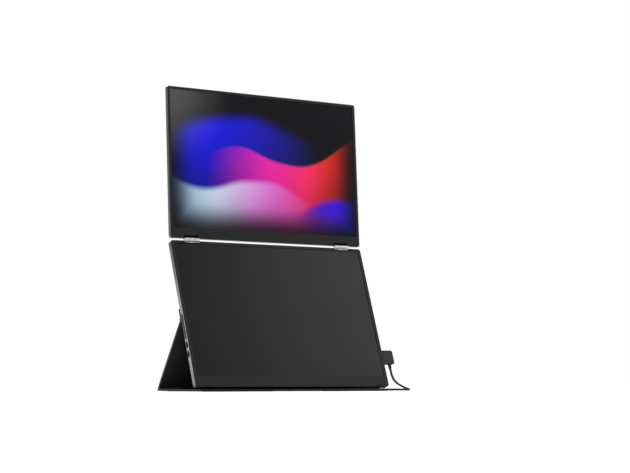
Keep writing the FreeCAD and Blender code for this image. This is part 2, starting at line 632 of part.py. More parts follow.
def cut_knuckles(plate, spans, y, z, radius):
    """Room in a plate for the other side's knuckles."""
    for x0, x1 in spans:
        lo = max(x0 - KNUCKLE_GAP, -HALF_W - 1)
        hi = min(x1 + KNUCKLE_GAP, HALF_W + 1)
        plate = plate.cut(cylinder_x(lo, hi, y, z, radius))
    return plate


def knuckle_row(spans, y, z):
    row = []
    for x0, x1 in spans:
        lo = x0 if x0 <= -HALF_W + 1e-6 else x0 + KNUCKLE_GAP / 2
        hi = x1 if x1 >= HALF_W - 1e-6 else x1 - KNUCKLE_GAP / 2
        row.append(cylinder_x(lo, hi, y, z, STAND_KNUCKLE_R))
    return row


def leaf_parts():
    """The leaf and its tape on the deck's back, with the leg's hinge axis at its lower edge."""
    z0 = LEAF_FOLD_Z
    y0 = DECK_T + LEAF_TAPE_T
    tape = box(-HALF_W + LEAF_TAPE_SIDE, HALF_W - LEAF_TAPE_SIDE, DECK_T, y0, z0 + LEAF_TAPE_LOW,
               z0 + LEAF_H - LEAF_TAPE_TOP)
    plate = box(-HALF_W, HALF_W, y0, LEAF_BACK, z0, z0 + LEAF_H)
    plate = fillet_edges(plate, STAND_EDGE_R,
                         lambda e: edge_at_y(LEAF_BACK)(e) and e.BoundBox.ZMin > z0 + 1)
    axis_y = LEAF_BACK + STAND_GAP
    plate = cut_knuckles(plate, knuckle_spans(True), axis_y, z0, STAND_KNUCKLE_R + STAND_RELIEF)
    plate = plate.fuse(knuckle_row(knuckle_spans(False), axis_y, z0))
    plate = plate.cut(cylinder_x(-HALF_W - 1, HALF_W + 1, axis_y, z0, STAND_PIN_R))
    pin = cylinder_x(-HALF_W, HALF_W, axis_y, z0, STAND_PIN_R)
    return {"leaf_tape": tape, "stand_leaf": plate.removeSplitter(), "leaf_hinge_pin": pin}


def deck_to_work(y, z):
    """A point of the deck's frame in the work frame, whose y = 0 is at the deck's front edge."""
    return (y * DECK_COS + z * DECK_SIN, DECK_FOOT_Z - y * DECK_SIN + z * DECK_COS)


def leg_geometry():
    """Where the leg lies: its hinge axes, its direction and length between them."""
    top = deck_to_work(LEAF_BACK + STAND_GAP, LEAF_FOLD_Z)
    foot = (REAR_HINGE_Y, BASE_TOP + STAND_GAP)
    offset = LEG_T + 2 * STAND_GAP
    dy = foot[0] - top[0]
    dz = foot[1] - top[1]
    length = math.sqrt(dy * dy + dz * dz - offset * offset)
    angle = math.atan2(dz, dy) + math.atan2(offset, length)
    return top, foot, offset, length, angle


def leg_parts():
    """Leg in its own frame: z = 0 at the upper axis, z falls to the foot, y grows to the outside."""
    _, _, offset, length, _ = leg_geometry()
    plate = box(-HALF_W, HALF_W, -STAND_GAP - LEG_T, -STAND_GAP, -(length + LEG_SKIRT), 0)
    plate = cut_knuckles(plate, knuckle_spans(False), 0, 0, STAND_KNUCKLE_R + STAND_RELIEF)
    plate = cut_knuckles(plate, knuckle_spans(True), -offset, -length, STAND_KNUCKLE_R + STAND_RELIEF)
    plate = plate.fuse(knuckle_row(knuckle_spans(True), 0, 0))
    plate = plate.fuse(knuckle_row(knuckle_spans(False), -offset, -length))
    plate = plate.cut(rest_strip_pocket(length))
    plate = plate.cut(cylinder_x(-HALF_W - 1, HALF_W + 1, 0, 0, STAND_PIN_R + RUNNING_CLEARANCE))
    plate = plate.cut(cylinder_x(-HALF_W - 1, HALF_W + 1, -offset, -length, STAND_PIN_R))
    pin = cylinder_x(-HALF_W, HALF_W, -offset, -length, STAND_PIN_R)
    return {"stand_leg": plate.removeSplitter(), "rear_hinge_pin": pin}


def rest_strip_pocket(length):
    """The shallow pocket in the leg's inner face that takes the rest strip when folded."""
    from_hinge = REAR_HINGE_Y - REST_LINE_Y
    reach = REST_STRIP_D / 2 + REST_POCKET_GAP
    depth = REST_STRIP_T + REST_STRIP_SLOPE * REST_STRIP_D / 2 + REST_POCKET_GAP - 2 * STAND_GAP
    inner = -STAND_GAP - LEG_T
    half = HALF_W - REST_STRIP_END_INSET + REST_POCKET_GAP
    z = -length + from_hinge
    return box(-half, half, inner - 1, inner + depth, z - reach, z + reach)


def base_parts():
    """Base, pads and rest strip, in the work frame."""
    _, foot, _, _, _ = leg_geometry()
    plate = box(-HALF_W, HALF_W, -BASE_TONGUE, foot[0], PAD_T, BASE_TOP)
    plate = plate.cut(front_taper())
    plate = fillet_edges(plate, STAND_EDGE_R,
                         lambda e: edge_at_y(-BASE_TONGUE)(e) and e.BoundBox.ZMin > PAD_T + 0.01
                         and e.BoundBox.XLength > PANEL_W / 2)
    plate = cut_knuckles(plate, knuckle_spans(False), foot[0], foot[1], STAND_KNUCKLE_R + STAND_RELIEF)
    plate = plate.fuse(knuckle_row(knuckle_spans(True), foot[0], foot[1]))
    bore = cylinder_x(-HALF_W - 1, HALF_W + 1, foot[0], foot[1], STAND_PIN_R + RUNNING_CLEARANCE)
    plate = plate.cut(bore)
    pads = []
    for y0 in (-BASE_TONGUE + PAD_INSET / 2, foot[0] - PAD_INSET - PAD_D):
        for sx in (-1, 1):
            x = sx * (HALF_W - PAD_INSET - PAD_W / 2)
            pads.append(box(x - PAD_W / 2, x + PAD_W / 2, y0, y0 + PAD_D, 0, PAD_T))
    return {"stand_base": plate.removeSplitter(), "base_pads": Part.makeCompound(pads),
            "rest_strip": rest_strip()}


def front_taper():
    """What is cut off the base's top towards its front lip, so that the deck clears it in the fold."""
    corners = [(FRONT_TAPER_D - BASE_TONGUE, BASE_TOP), (-BASE_TONGUE, BASE_TOP - FRONT_TAPER),
               (-BASE_TONGUE, BASE_TOP), (FRONT_TAPER_D - BASE_TONGUE, BASE_TOP)]
    wire = Part.makePolygon([FreeCAD.Vector(-HALF_W, y, z) for y, z in corners])
    return Part.Face(wire).extrude(FreeCAD.Vector(PANEL_W, 0, 0))


def rest_strip():
    """A rubber strip on the base, which slopes down to the front, under the deck's bottom edge."""
    y0 = REST_LINE_Y - REST_STRIP_D / 2
    y1 = REST_LINE_Y + REST_STRIP_D / 2
    t0 = REST_STRIP_T - REST_STRIP_SLOPE * (REST_LINE_Y - y0)
    t1 = REST_STRIP_T + REST_STRIP_SLOPE * (y1 - REST_LINE_Y)
    half = HALF_W - REST_STRIP_END_INSET
    corners = [(y0, BASE_TOP), (y1, BASE_TOP), (y1, BASE_TOP + t1), (y0, BASE_TOP + t0), (y0, BASE_TOP)]
    wire = Part.makePolygon([FreeCAD.Vector(-half, y, z) for y, z in corners])
    return Part.Face(wire).extrude(FreeCAD.Vector(2 * half, 0, 0))


# Plug, in the deck's frame
def plug_parts():
    x0 = HALF_W + PLUG_GAP
    x1 = HALF_W + PLUG_REACH
    half_t = PLUG_T / 2
    y = SIDE_LINE_Y
    body = box(x0, x1, y - half_t, y + half_t, PLUG_BOTTOM, PLUG_TOP)
    body = fillet_edges(body, PLUG_R, lambda e: e.BoundBox.YLength > PLUG_T - 0.01
                        and e.BoundBox.XMin > x0 + 1)
    body = fillet_edges(body, PLUG_EDGE_R,
                        lambda e: edge_at_y(y - half_t)(e) or edge_at_y(y + half_t)(e))
    tip_x1 = x0
    tip_x0 = HALF_W - SOCKET_SETBACK - TIP_LEN
    tip = stadium_x(tip_x0, tip_x1, y, SOCKET_RIGHT_Z, TIP_W, TIP_T)
    hollow = box(tip_x0 - 1, HALF_W - SOCKET_SETBACK - TIP_ROOT, y - TIP_HOLLOW_T / 2, y + TIP_HOLLOW_T / 2,
                 SOCKET_RIGHT_Z - TIP_HOLLOW_W / 2, SOCKET_RIGHT_Z + TIP_HOLLOW_W / 2)
    relief_x = HALF_W + RELIEF_X
    relief = Part.makeCone(RELIEF_R0, RELIEF_R1, RELIEF_LEN,
                           FreeCAD.Vector(relief_x, y, PLUG_BOTTOM), FreeCAD.Vector(0, 0, -1))
    for i in range(RELIEF_GROOVES):
        z = PLUG_BOTTOM - RELIEF_GROOVE_PITCH * (i + 1)
        groove = Part.makeTorus(RELIEF_R0 + 0.1, RELIEF_GROOVE_R, FreeCAD.Vector(relief_x, y, z))
        relief = relief.cut(groove)
    return {"plug_body": body, "plug_tip": tip.cut(hollow), "plug_strain_relief": relief}


# Cable
def arc_route(points, diameter):
    """A path of straight runs joined by tangent arcs, as large as the runs allow."""
    pts = [FreeCAD.Vector(*p) for p in points]
    edges = []
    radii = []
    last = pts[0]
    for i in range(1, len(pts) - 1):
        before = pts[i] - pts[i - 1]
        after = pts[i + 1] - pts[i]
        turn = before.getAngle(after)
        short = min(before.Length, after.Length)
        radius = 0.45 * short / math.tan(turn / 2)
        radii.append(radius)
        reach = radius * math.tan(turn / 2)
        u = FreeCAD.Vector(before).normalize()
        w = FreeCAD.Vector(after).normalize()
        start = pts[i] - u * reach
        end = pts[i] + w * reach
        bisector = (w - u).normalize()
        centre = pts[i] + bisector * (radius / math.cos(turn / 2))
        middle = centre - bisector * radius
        if (start - last).Length > 1e-4:
            edges.append(Part.LineSegment(last, start).toShape())
        edges.append(Part.Arc(start, middle, end).toShape())
        last = end
    edges.append(Part.LineSegment(last, pts[-1]).toShape())
    print("cable radii in diameters:", [round(r / diameter, 1) for r in radii])
    return Part.Wire(edges)


def swept_tube(wire, start, direction, diameter):
    section = Part.Wire([Part.makeCircle(diameter / 2, start, direction)])
    pipe = Part.BRepOffsetAPI.MakePipeShell(wire)
    pipe.add(section)
    pipe.build()
    pipe.makeSolid()
    return pipe.shape()


def biarc(p0, t0, p1, t1):
    """Two arcs that leave p0 along t0 and arrive at p1 along t1."""
    v = p1 - p0
    t = t0 + t1
    a = 2 * (1 - t0.dot(t1))
    if a < 1e-9:
        d = v.dot(v) / (4 * v.dot(t1))
    else:
        vt = v.dot(t)
        d = (-vt + math.sqrt(vt * vt + a * v.dot(v))) / a
    q0 = p0 + t0 * d
    q1 = p1 - t1 * d
    joint = (q0 + q1) * 0.5
    return [tangent_arc(p0, q0, joint), tangent_arc(joint, q1, p1)]


def tangent_arc(start, corner, end):
    """The arc from start to end whose end tangents meet at the corner."""
    reach = (corner - start).Length
    u = (corner - start).normalize()
    w = (end - corner).normalize()
    half_turn = u.getAngle(w) / 2
    if half_turn < 1e-7:
        return Part.LineSegment(start, end).toShape()
    radius = reach / math.tan(half_turn)
    bisector = (w - u).normalize()
    middle = corner + bisector * (radius / math.cos(half_turn) - radius)
    return Part.Arc(start, middle, end).toShape()


def coil_state(quarter):
    """Radius, height and their rates per radian at a quarter turn of the coil."""
    per_layer = 4 * COIL_TURNS_PER_LAYER
    rate = COIL_PITCH / (2 * math.pi)
    reversal = per_layer + 1
    r = COIL_OUTER_R - rate * (math.pi / 2) * min(quarter, 2 * reversal - quarter)
    r_rate = -rate if quarter < reversal else rate
    if quarter == reversal:
        r_rate = 0.0
    layer_z = CABLE_D / 2
    if quarter <= per_layer:
        return r, layer_z, r_rate, 0.0
    if quarter == reversal:
        return r, layer_z + COIL_PITCH / 2, r_rate, COIL_PITCH / math.pi * 1.5
    return r, layer_z + COIL_PITCH, r_rate, 0.0


def coil_point(quarter):
    r, z, r_rate, z_rate = coil_state(quarter)
    a = math.radians(COIL_START_DEG) - quarter * math.pi / 2
    point = FreeCAD.Vector(COIL_CENTRE[0] + r * math.cos(a), COIL_CENTRE[1] + r * math.sin(a), z)
    tangent = FreeCAD.Vector(r_rate * math.cos(a) + r * math.sin(a),
                             r_rate * math.sin(a) - r * math.cos(a), z_rate)
    return point, tangent.normalize()


def coil_quarters():
    return 8 * COIL_TURNS_PER_LAYER + 2


def coil_wire():
    edges = []
    p0, t0 = coil_point(0)
    for quarter in range(1, coil_quarters() + 1):
        p1, t1 = coil_point(quarter)
        edges += biarc(p0, t0, p1, t1)
        p0, t0 = p1, t1
    p0, t0, tail = tail_edges()
    return Part.Wire(edges + tail)


def tail_edges():
    """The cable's end leaves the top layer and sinks to the height of the plug."""
    p0, t0 = coil_point(coil_quarters())
    t0 = FreeCAD.Vector(t0.x, t0.y, 0).normalize()
    drop = p0.z - FAR_PLUG_T / 2
    turn = math.acos(1 - drop / (2 * TAIL_R))
    along = 2 * TAIL_R * math.sin(turn)
    end = p0 + t0 * along + FreeCAD.Vector(0, 0, -drop)
    reach = TAIL_R * math.tan(turn / 2)
    slope = FreeCAD.Vector(t0.x * math.cos(turn), t0.y * math.cos(turn), -math.sin(turn))
    joint = p0 + t0 * reach + slope * reach
    edges = [tangent_arc(p0, p0 + t0 * reach, joint), tangent_arc(joint, end - t0 * reach, end)]
    return end, t0, edges


def least_gap(wire, diameter):
    """The least gap between the coil's turns, measured on points along it."""
    points = wire.discretize(Distance=2.0)
    best = 1e9
    skip = int(8 * diameter / 2.0)
    for i in range(len(points)):
        for j in range(i + skip, len(points)):
            best = min(best, points[i].distanceToPoint(points[j]))
    return best - diameter


def cable_parts(relief_end, relief_dir):
    coil = coil_wire()
    start, tangent = coil_point(0)
    first = relief_end
    lead_in = [tuple(first), tuple(first + relief_dir * CABLE_LEAD_IN)]
    points = lead_in + CABLE_POINTS + [tuple(start)]
    run = arc_route(points, CABLE_D)
    tube = swept_tube(run, first, relief_dir, CABLE_D)
    wound = swept_tube(coil, start, tangent, CABLE_D)
    area = math.pi * CABLE_D ** 2 / 4
    print("free run %.1f mm, volume ratio %.4f" % (run.Length, tube.Volume / (area * run.Length)))
    print("coil %.1f mm, volume ratio %.4f" % (coil.Length, wound.Volume / (area * coil.Length)))
    print("least gap between turns %.2f mm" % least_gap(coil, CABLE_D))
    print("route points:", [tuple(round(c, 2) for c in p) for p in points])
    return {"cable_free_run": tube, "cable_coil": wound}


def far_plug_parts():
    """A straight plug, flat on the table, at the end of the tail."""
    end, direction, _ = tail_edges()
    half_w = FAR_PLUG_W / 2
    half_t = FAR_PLUG_T / 2
    body = box(0, FAR_PLUG_L, -half_w, half_w, -half_t, half_t)
    body = fillet_edges(body, FAR_PLUG_R, lambda e: e.BoundBox.XLength > FAR_PLUG_L - 0.01)
    tip = stadium_x(FAR_PLUG_L, FAR_PLUG_L + TIP_LEN, 0, 0, TIP_W, TIP_T)
    hollow = box(FAR_PLUG_L + 1, FAR_PLUG_L + TIP_LEN + 1, -TIP_HOLLOW_T / 2, TIP_HOLLOW_T / 2,
                 -TIP_HOLLOW_W / 2, TIP_HOLLOW_W / 2)
    tip = tip.cut(hollow)
    tip.rotate(FreeCAD.Vector(0, 0, 0), FreeCAD.Vector(1, 0, 0), 90)
    turn = math.degrees(math.atan2(direction.y, direction.x))
    nodes = {"far_plug_body": body, "far_plug_tip": tip}
    for shape in nodes.values():
        shape.Placement = FreeCAD.Placement(end, FreeCAD.Rotation(FreeCAD.Vector(0, 0, 1), turn)).multiply(
            shape.Placement)
    return nodes


def cable_tie():
    """A flat band round both layers of the coil, opposite to where the cable enters."""
    half_d = CABLE_D / 2
    inner_r = COIL_OUTER_R - COIL_PITCH * (COIL_TURNS_PER_LAYER + 0.25) - half_d - TIE_GAP
    outer_r = COIL_OUTER_R + half_d + TIE_GAP
    top = COIL_PITCH + CABLE_D + TIE_GAP
    cx, cy = COIL_CENTRE
    outer = box(cx + inner_r - TIE_T, cx + outer_r + TIE_T, cy - TIE_W / 2, cy + TIE_W / 2, 0, top + TIE_T)
    inner = box(cx + inner_r, cx + outer_r, cy - TIE_W, cy + TIE_W, -1, top)
    return outer.cut(inner)


def tilted(shape, tilt, y, z):
    """A shape of a panel's frame, leant back by a tilt and moved."""
    moved = shape.copy()
    lean = FreeCAD.Rotation(FreeCAD.Vector(1, 0, 0), -tilt)
    moved.Placement = FreeCAD.Placement(FreeCAD.Vector(0, y, z), lean).multiply(moved.Placement)
    return moved


def build():
    top, foot, offset, length, angle = leg_geometry()
    skirt_y = foot[0] + LEG_SKIRT * math.cos(angle) + (offset - STAND_GAP) * -math.sin(angle)
    shift = -(skirt_y - BASE_TONGUE) / 2
    nodes = {}

    deck = deck_parts()
    deck.update(leaf_parts())
    plug = plug_parts()
    for name, shape in list(deck.items()) + list(plug.items()):
        nodes[name] = tilted(shape, DECK_TILT, shift, DECK_FOOT_Z)

    hinge_y, hinge_z = deck_to_work(AXIS_Y, AXIS_Z)
    sin_d = math.sin(math.radians(DISPLAY_TILT))
    cos_d = math.cos(math.radians(DISPLAY_TILT))
    local_y = AXIS_Y
    local_z = -PANEL_GAP / 2
    display_y = hinge_y - (local_y * cos_d + local_z * sin_d)
    display_z = hinge_z - (-local_y * sin_d + local_z * cos_d)
    for name, shape in display_parts().items():
        nodes[name] = tilted(shape, DISPLAY_TILT, display_y + shift, display_z)

    leg_tilt = math.degrees(angle) + 90
    for name, shape in leg_parts().items():
        nodes[name] = tilted(shape, -leg_tilt, top[0] + shift, top[1])
    for name, shape in base_parts().items():
        nodes[name] = tilted(shape, 0, shift, 0)

    relief_y, relief_z = deck_to_work(SIDE_LINE_Y, PLUG_BOTTOM - RELIEF_LEN)
    relief_end = FreeCAD.Vector(HALF_W + RELIEF_X, relief_y + shift, relief_z)
    relief_dir = FreeCAD.Vector(0, -DECK_SIN, -DECK_COS)
    nodes.update(cable_parts(relief_end, relief_dir))
    nodes.update(far_plug_parts())
    nodes["cable_tie"] = cable_tie()

    deck_up = 90 - DECK_TILT
    fold = deck_up - math.degrees(angle)
    print("display hinge at y %.3f z %.3f" % (hinge_y + shift, hinge_z))
    print("leg hinge at y %.3f z %.3f, folds by %.3f" % (top[0] + shift, top[1], fold))
    print("rear hinge at y %.3f z %.3f, folds by %.3f" % (foot[0] + shift, foot[1], math.degrees(angle)))
    print("leg length %.2f, shift %.3f" % (length, shift))
    return nodes


os.makedirs("parts", exist_ok=True)
NODES = build()
for node_name, node_shape in NODES.items():
    node_shape.exportStep("parts/%s.step" % node_name)
print(len(NODES), "nodes")
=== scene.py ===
import math

import bmesh
import bpy
from mathutils import Matrix, Vector


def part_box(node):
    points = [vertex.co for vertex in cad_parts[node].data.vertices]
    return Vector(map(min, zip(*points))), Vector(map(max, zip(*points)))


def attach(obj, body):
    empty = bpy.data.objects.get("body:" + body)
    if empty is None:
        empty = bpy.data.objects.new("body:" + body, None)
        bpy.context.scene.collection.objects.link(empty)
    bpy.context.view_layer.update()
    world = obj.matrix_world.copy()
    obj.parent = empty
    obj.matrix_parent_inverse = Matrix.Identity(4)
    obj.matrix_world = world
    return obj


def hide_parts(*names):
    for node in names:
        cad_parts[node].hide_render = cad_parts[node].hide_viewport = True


# Looks of a folding two-panel screen extender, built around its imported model. Lengths in metres.

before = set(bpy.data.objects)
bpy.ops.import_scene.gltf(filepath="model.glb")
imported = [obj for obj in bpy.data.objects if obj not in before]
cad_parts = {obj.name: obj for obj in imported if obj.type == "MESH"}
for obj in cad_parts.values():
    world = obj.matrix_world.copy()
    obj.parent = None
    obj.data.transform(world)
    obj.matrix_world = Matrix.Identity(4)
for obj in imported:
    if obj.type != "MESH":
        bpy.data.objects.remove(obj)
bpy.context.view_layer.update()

# Camera, worked out from the photograph's perspective
CAMERA_PLACE = (-1.5109, -2.3252, 0.0190)
CAMERA_YAW = math.radians(34.22)
CAMERA_PITCH = math.radians(4.59)
CAMERA_CLIP = (0.05, 50.0)
SENSOR_WIDTH = 36.0
CAMERA_LENS = 101.33

# Stage and light. The floor glows towards the camera, less near the object, so that it looks white.
FLOOR_HALF = 8.0
FLOOR_COLOUR = (0.86, 0.86, 0.86, 1)
FLOOR_GLOW = (0.46, 0.66)
FLOOR_GLOW_REACH = (0.4, 1.6)
WORLD_FILL = 0.42
WHITE = (1, 1, 1, 1)
STAGE_MIDDLE = (0, 0, 0.2)
LAMPS = [
    {"name": "key", "place": (-1.4, -1.6, 2.2), "target": STAGE_MIDDLE, "size": 1.2, "power": 34.0},
    {"name": "fill", "place": (2.0, -1.4, 1.6), "target": STAGE_MIDDLE, "size": 1.4, "power": 16.0},
    {"name": "back", "place": (0.6, 2.2, 1.8), "target": STAGE_MIDDLE, "size": 1.4, "power": 20.0},
    {"name": "edge", "place": (-0.62, 0.74, 0.10), "target": (-0.18, -0.02, 0.06), "size": 0.16,
     "power": 0.95, "seen": False},
]

# Panels: how far each leans back, its depth at the foot, and the height of the picture
DISPLAY_TILT = math.radians(3.35)
DISPLAY_T = 0.006
DECK_TILT = math.radians(19.6)
DECK_BEZEL_T = 0.0008
SCREEN_H = 0.2154

# Barrel recesses in the upper panel's bottom edge, in its own frame, and the top of the barrels: shade is
# painted inside the recesses, and on the upper brackets above the barrels
RECESS_X = 0.14005
RECESS_HALF_W = 0.0134
RECESS_Y = 0.0037
RECESS_Z = 0.00505
BARREL_TOP_Z = 0.0018

# Sides of the lower panel, in its own frame: y from the front, z up from the bottom edge. The mouths of the
# button slot and of the two sockets are on the left side, each with its middle, length and width. A row of
# speaker holes is on both sides. Shade is painted round them, as the dark inside of a hole: it reaches a
# rim's width past a mouth, and a number of radii from the middle of a hole.
SIDE_X = 0.17755
SIDE_LINE_Y = 0.0049
SIDE_SKIN = 0.0014
SIDE_MOUTHS = [(0.0975, 0.0392, 0.0028), (0.0537, 0.00918, 0.0035), (0.0681, 0.00918, 0.0035)]
MOUTH_SHADE_RIM = 0.0009
SPEAKER_HOLE_LOW = 0.1765
SPEAKER_HOLE_PITCH = 0.00348
SPEAKER_HOLES = 11
SPEAKER_HOLE_R = 0.0008
HOLE_SHADE_RADII = 1.5
# Colour of the painted shade
PAINTED_SHADE = (0.003, 0.003, 0.003, 1)

# Collar round the plug's strain relief: its place in the lower panel's own frame, and its outline as radius
# and height
COLLAR_PLACE = (0.19095, 0.0049, 0.0345)
COLLAR_OUTLINE = [(0.0021, -0.0009), (0.0025, -0.0009), (0.0028, -0.0006), (0.0029, 0.0), (0.0028, 0.0006),
                  (0.0025, 0.0009), (0.0021, 0.0009)]
COLLAR_SIDES = 40

# Tongues in the two open sockets, in the lower panel's own frame
TONGUE_PLACES = [0.0537, 0.0681]
TONGUE_X = (-0.17490, -0.17040)
TONGUE_HALF_T = 0.00046
TONGUE_HALF_W = 0.00342
TONGUE_ROUND = 0.0001
TONGUE_ROUND_STEPS = 2
CONTACTS = 12
CONTACT_PITCH = 0.0005
CONTACT_HALF_W = 0.00013
CONTACT_X = (-0.17465, -0.17140)
CONTACT_PROUD = 0.00003

# Colours of the picture on the screen
NEAR_BLACK = (0.002, 0.002, 0.003, 1)
BLUE = (0.008, 0.006, 0.86, 1)
DEEP_BLUE = (0.010, 0.008, 0.42, 1)
RED = (0.95, 0.028, 0.016, 1)
MAGENTA = (0.74, 0.014, 0.44, 1)
ORCHID = (0.70, 0.17, 0.66, 1)
ICE = (0.52, 0.75, 0.83, 1)

# The picture: soft waves that overlap, in shares of its height from its middle. A wave has a crest of some
# height and slope that swings with a length and a start, an edge, a glow that fades below the crest, a
# middle and a reach from side to side, and a colour at either end.
PICTURE_WAVES = [
    {"height": 0.34, "slope": -0.12, "swing": 0.10, "length": 1.9, "start": 1.5, "edge": 0.14, "glow": 0.90,
     "middle": -0.24, "reach": 0.80, "colours": (BLUE, DEEP_BLUE)},
    {"height": 0.10, "slope": 0.24, "swing": 0.13, "length": 1.5, "start": 2.9, "edge": 0.03, "glow": 0.74,
     "middle": 0.26, "reach": 0.74, "colours": (MAGENTA, RED)},
    {"height": -0.12, "slope": -0.18, "swing": 0.09, "length": 1.35, "start": 1.0, "edge": 0.06, "glow": 0.52,
     "middle": -0.20, "reach": 0.74, "colours": (ICE, ORCHID)},
    {"height": -0.26, "slope": 0.10, "swing": 0.05, "length": 1.2, "start": 4.4, "edge": 0.08, "glow": 0.44,
     "middle": 0.62, "reach": 0.40, "colours": (DEEP_BLUE, BLUE)},
]

# In shares of a wave's reach, from its middle: where it starts to weaken, and where its end colours lie
WAVE_FULL = 0.15
WAVE_BLEND = 0.6

# The whole picture: it is warped and speckled and fades to a dim edge. A painted reflection, a grey sheen
# that glows in its upper left corner, is added to it: an ellipse stretched so far from front to back that
# depth does not count.
PICTURE_WARP = 0.10
PICTURE_WARP_SCALE = 1.7
PICTURE_SPECKS = 0.14
PICTURE_SPECK_SCALE = 330.0
PICTURE_HALF_WIDTH = 0.80
PICTURE_HALF_HEIGHT = 0.5
PICTURE_FADE = 0.20
PICTURE_EDGE_LIGHT = 0.12
# Painted reflection in the picture's upper left corner: its colour, place and sizes, where it ends, and its
# stretch in depth
PAINTED_CORNER_SHEEN = (0.085, 0.080, 0.078, 1)
PAINTED_SHEEN_PLACE = (-0.86, 0.50)
PAINTED_SHEEN_SIZES = (0.50, 0.46)
PAINTED_SHEEN_END = 1.25
PAINTED_SHEEN_DEPTH = 1000

# Spans of a noise that are stretched: nearly all of its values, the middle of them, and the peaks that show
# as specks or as rubbed marks
NOISE_SPAN = (0.3, 0.7)
DRIFT_SPAN = (0.35, 0.65)
SPECK_SPAN = (0.4, 0.7)
MARK_SPAN = (0.66, 0.78)

# Grained finishes: colour, its spread, the scale and depth of the grain, roughness and specular level
GRAINED = {
    "stand_skin": ((0.031, 0.031, 0.0315), 0.16, 1500.0, 0.00012, 0.55, 0.2),
    "stand_plate_black": ((0.009, 0.009, 0.0092), 0.2, 1500.0, 0.00012, 0.55, 0.15),
    "moulded_black": ((0.011, 0.011, 0.0113), 0.2, 2500.0, 0.00005, 0.48, 0.3),
    "plug_black": ((0.007, 0.007, 0.0072), 0.2, 2500.0, 0.00005, 0.50, 0.22),
    "button_black": ((0.008, 0.008, 0.0082), 0.15, 3000.0, 0.00003, 0.50, 0.10),
    "tongue_black": ((0.010, 0.010, 0.010), 0.2, 3000.0, 0.00001, 0.5, 0.3),
    "rubber_black": ((0.012, 0.012, 0.012), 0.25, 1800.0, 0.00008, 0.75, 0.15),
    "relief_rubber": ((0.006, 0.006, 0.006), 0.25, 1800.0, 0.00004, 0.65, 0.15),
    "cable_jacket_black": ((0.005, 0.005, 0.0052), 0.2, 2500.0, 0.00003, 0.50, 0.15),
    "film_white": ((0.80, 0.81, 0.83), 0.04, 900.0, 0.00002, 0.35, 0.5),
    "acrylic_clear": ((0.84, 0.87, 0.90), 0.03, 1200.0, 0.00002, 0.12, 0.5),
    "led_strip_white": ((0.85, 0.83, 0.68), 0.08, 700.0, 0.00005, 0.5, 0.5),
}
GRAINED_BEZEL = ((0.0095, 0.0095, 0.010), 0.15, 2200.0, 0.00004, 0.5, 0.15)

# Brushed metals: colour and roughness
BRUSHED = {
    "hinge_steel_grey": ((0.42, 0.42, 0.43), 0.34),
    "hinge_steel_upper": ((0.42, 0.42, 0.43), 0.34),
    "screw_steel_zinc": ((0.5, 0.5, 0.5), 0.3),
    "sheet_steel": ((0.45, 0.46, 0.47), 0.35),
    "blackened_steel": ((0.10, 0.10, 0.10), 0.4),
    "nickel_plate": ((0.55, 0.54, 0.52), 0.28),
    # The sockets' nickel is darker than the plug's: painted shade of a socket's inside
    "nickel_in_shade": ((0.11, 0.11, 0.107), 0.42),
    "contact_gold": ((0.75, 0.52, 0.20), 0.3),
}

# Ribbons: colours of the film and of the lines on it
RIBBONS = {
    "ribbon_amber": ((0.24, 0.09, 0.015, 1), (0.55, 0.26, 0.06, 1)),
    "ribbon_black": ((0.006, 0.006, 0.006, 1), (0.016, 0.015, 0.014, 1)),
}

# Other finishes
ALUMINIUM = (0.095, 0.095, 0.098)
ALUMINIUM_ROUGHNESS = 0.40
ALUMINIUM_SKINS = ("aluminium_grey", "aluminium_upper", "aluminium_lower")
GLASS_ROUGHNESS = 0.24
GLASS_BLACK = (0.002, 0.002, 0.0025, 1)
GLASS_SMEARED = (0.004, 0.004, 0.005, 1)
BOARD_COLOURS = {"Color1": (0.012, 0.085, 0.035, 1), "Color2": (0.016, 0.11, 0.05, 1),
                 "Mortar": (0.03, 0.17, 0.08, 1)}
BOARD_SCALE = 260.0
BOARD_TRACK = 0.06
BAND_COLOURS = ((0.008, 0.008, 0.008, 1), (0.035, 0.035, 0.036, 1))

# Bezels: painted seam shade makes the outermost strip, where the bezel meets the shell, darker than the face
SEAM_SHADE_WIDTH = 0.0013
SEAM_SHADE_FADE = 0.0004
SEAM_SHADE_COLOUR = (0.002, 0.002, 0.002, 1)

# The CAD nodes that wear each finish
WEARERS = {
    "aluminium_grey": ["deck_bottom_cap"],
    "aluminium_upper": ["display_back_shell"],
    "aluminium_lower": ["deck_back_shell"],
    "bezel_black_upper": ["display_bezel"],
    "bezel_black_lower": ["deck_bezel"],
    "screen_lit": ["display_lcd_cell"],
    "screen_off": ["deck_lcd_cell"],
    "film_white": ["display_film_stack", "display_reflector", "deck_film_stack", "deck_reflector"],
    "acrylic_clear": ["display_light_guide", "deck_light_guide"],
    "led_strip_white": ["display_led_strip", "deck_led_strip"],
    "board_green": ["display_driver_board", "deck_driver_board", "main_board", "port_board", "key_board"],
    "ribbon_black": ["display_signal_ribbon"],
    "ribbon_amber": ["port_ribbon"],
    "hinge_steel_upper": ["hinge_bracket_upper_left", "hinge_bracket_upper_right"],
    "hinge_steel_grey": ["hinge_bracket_lower_left", "hinge_bracket_lower_right"],
    "screw_steel_zinc": ["hinge_pin_left", "hinge_pin_right", "hinge_screws_upper", "hinge_screws_lower",
                         "board_screws"],
    "sheet_steel": ["deck_mid_frame"],
    "blackened_steel": ["leaf_hinge_pin", "rear_hinge_pin"],
    "nickel_plate": ["plug_tip", "far_plug_tip"],
    "nickel_in_shade": ["usb_c_socket_left_lower", "usb_c_socket_left_upper", "usb_c_socket_right"],
    "moulded_black": ["key_switches", "speaker_left", "speaker_right"],
    "button_black": ["button_power", "button_plus", "button_minus"],
    "plug_black": ["plug_body", "far_plug_body"],
    "relief_rubber": ["plug_strain_relief"],
    "rubber_black": ["deck_bumpers", "base_pads", "rest_strip", "leaf_tape"],
    "stand_skin": ["stand_leg"],
    "stand_plate_black": ["stand_leaf", "stand_base"],
    "tie_band": ["cable_tie"],
}

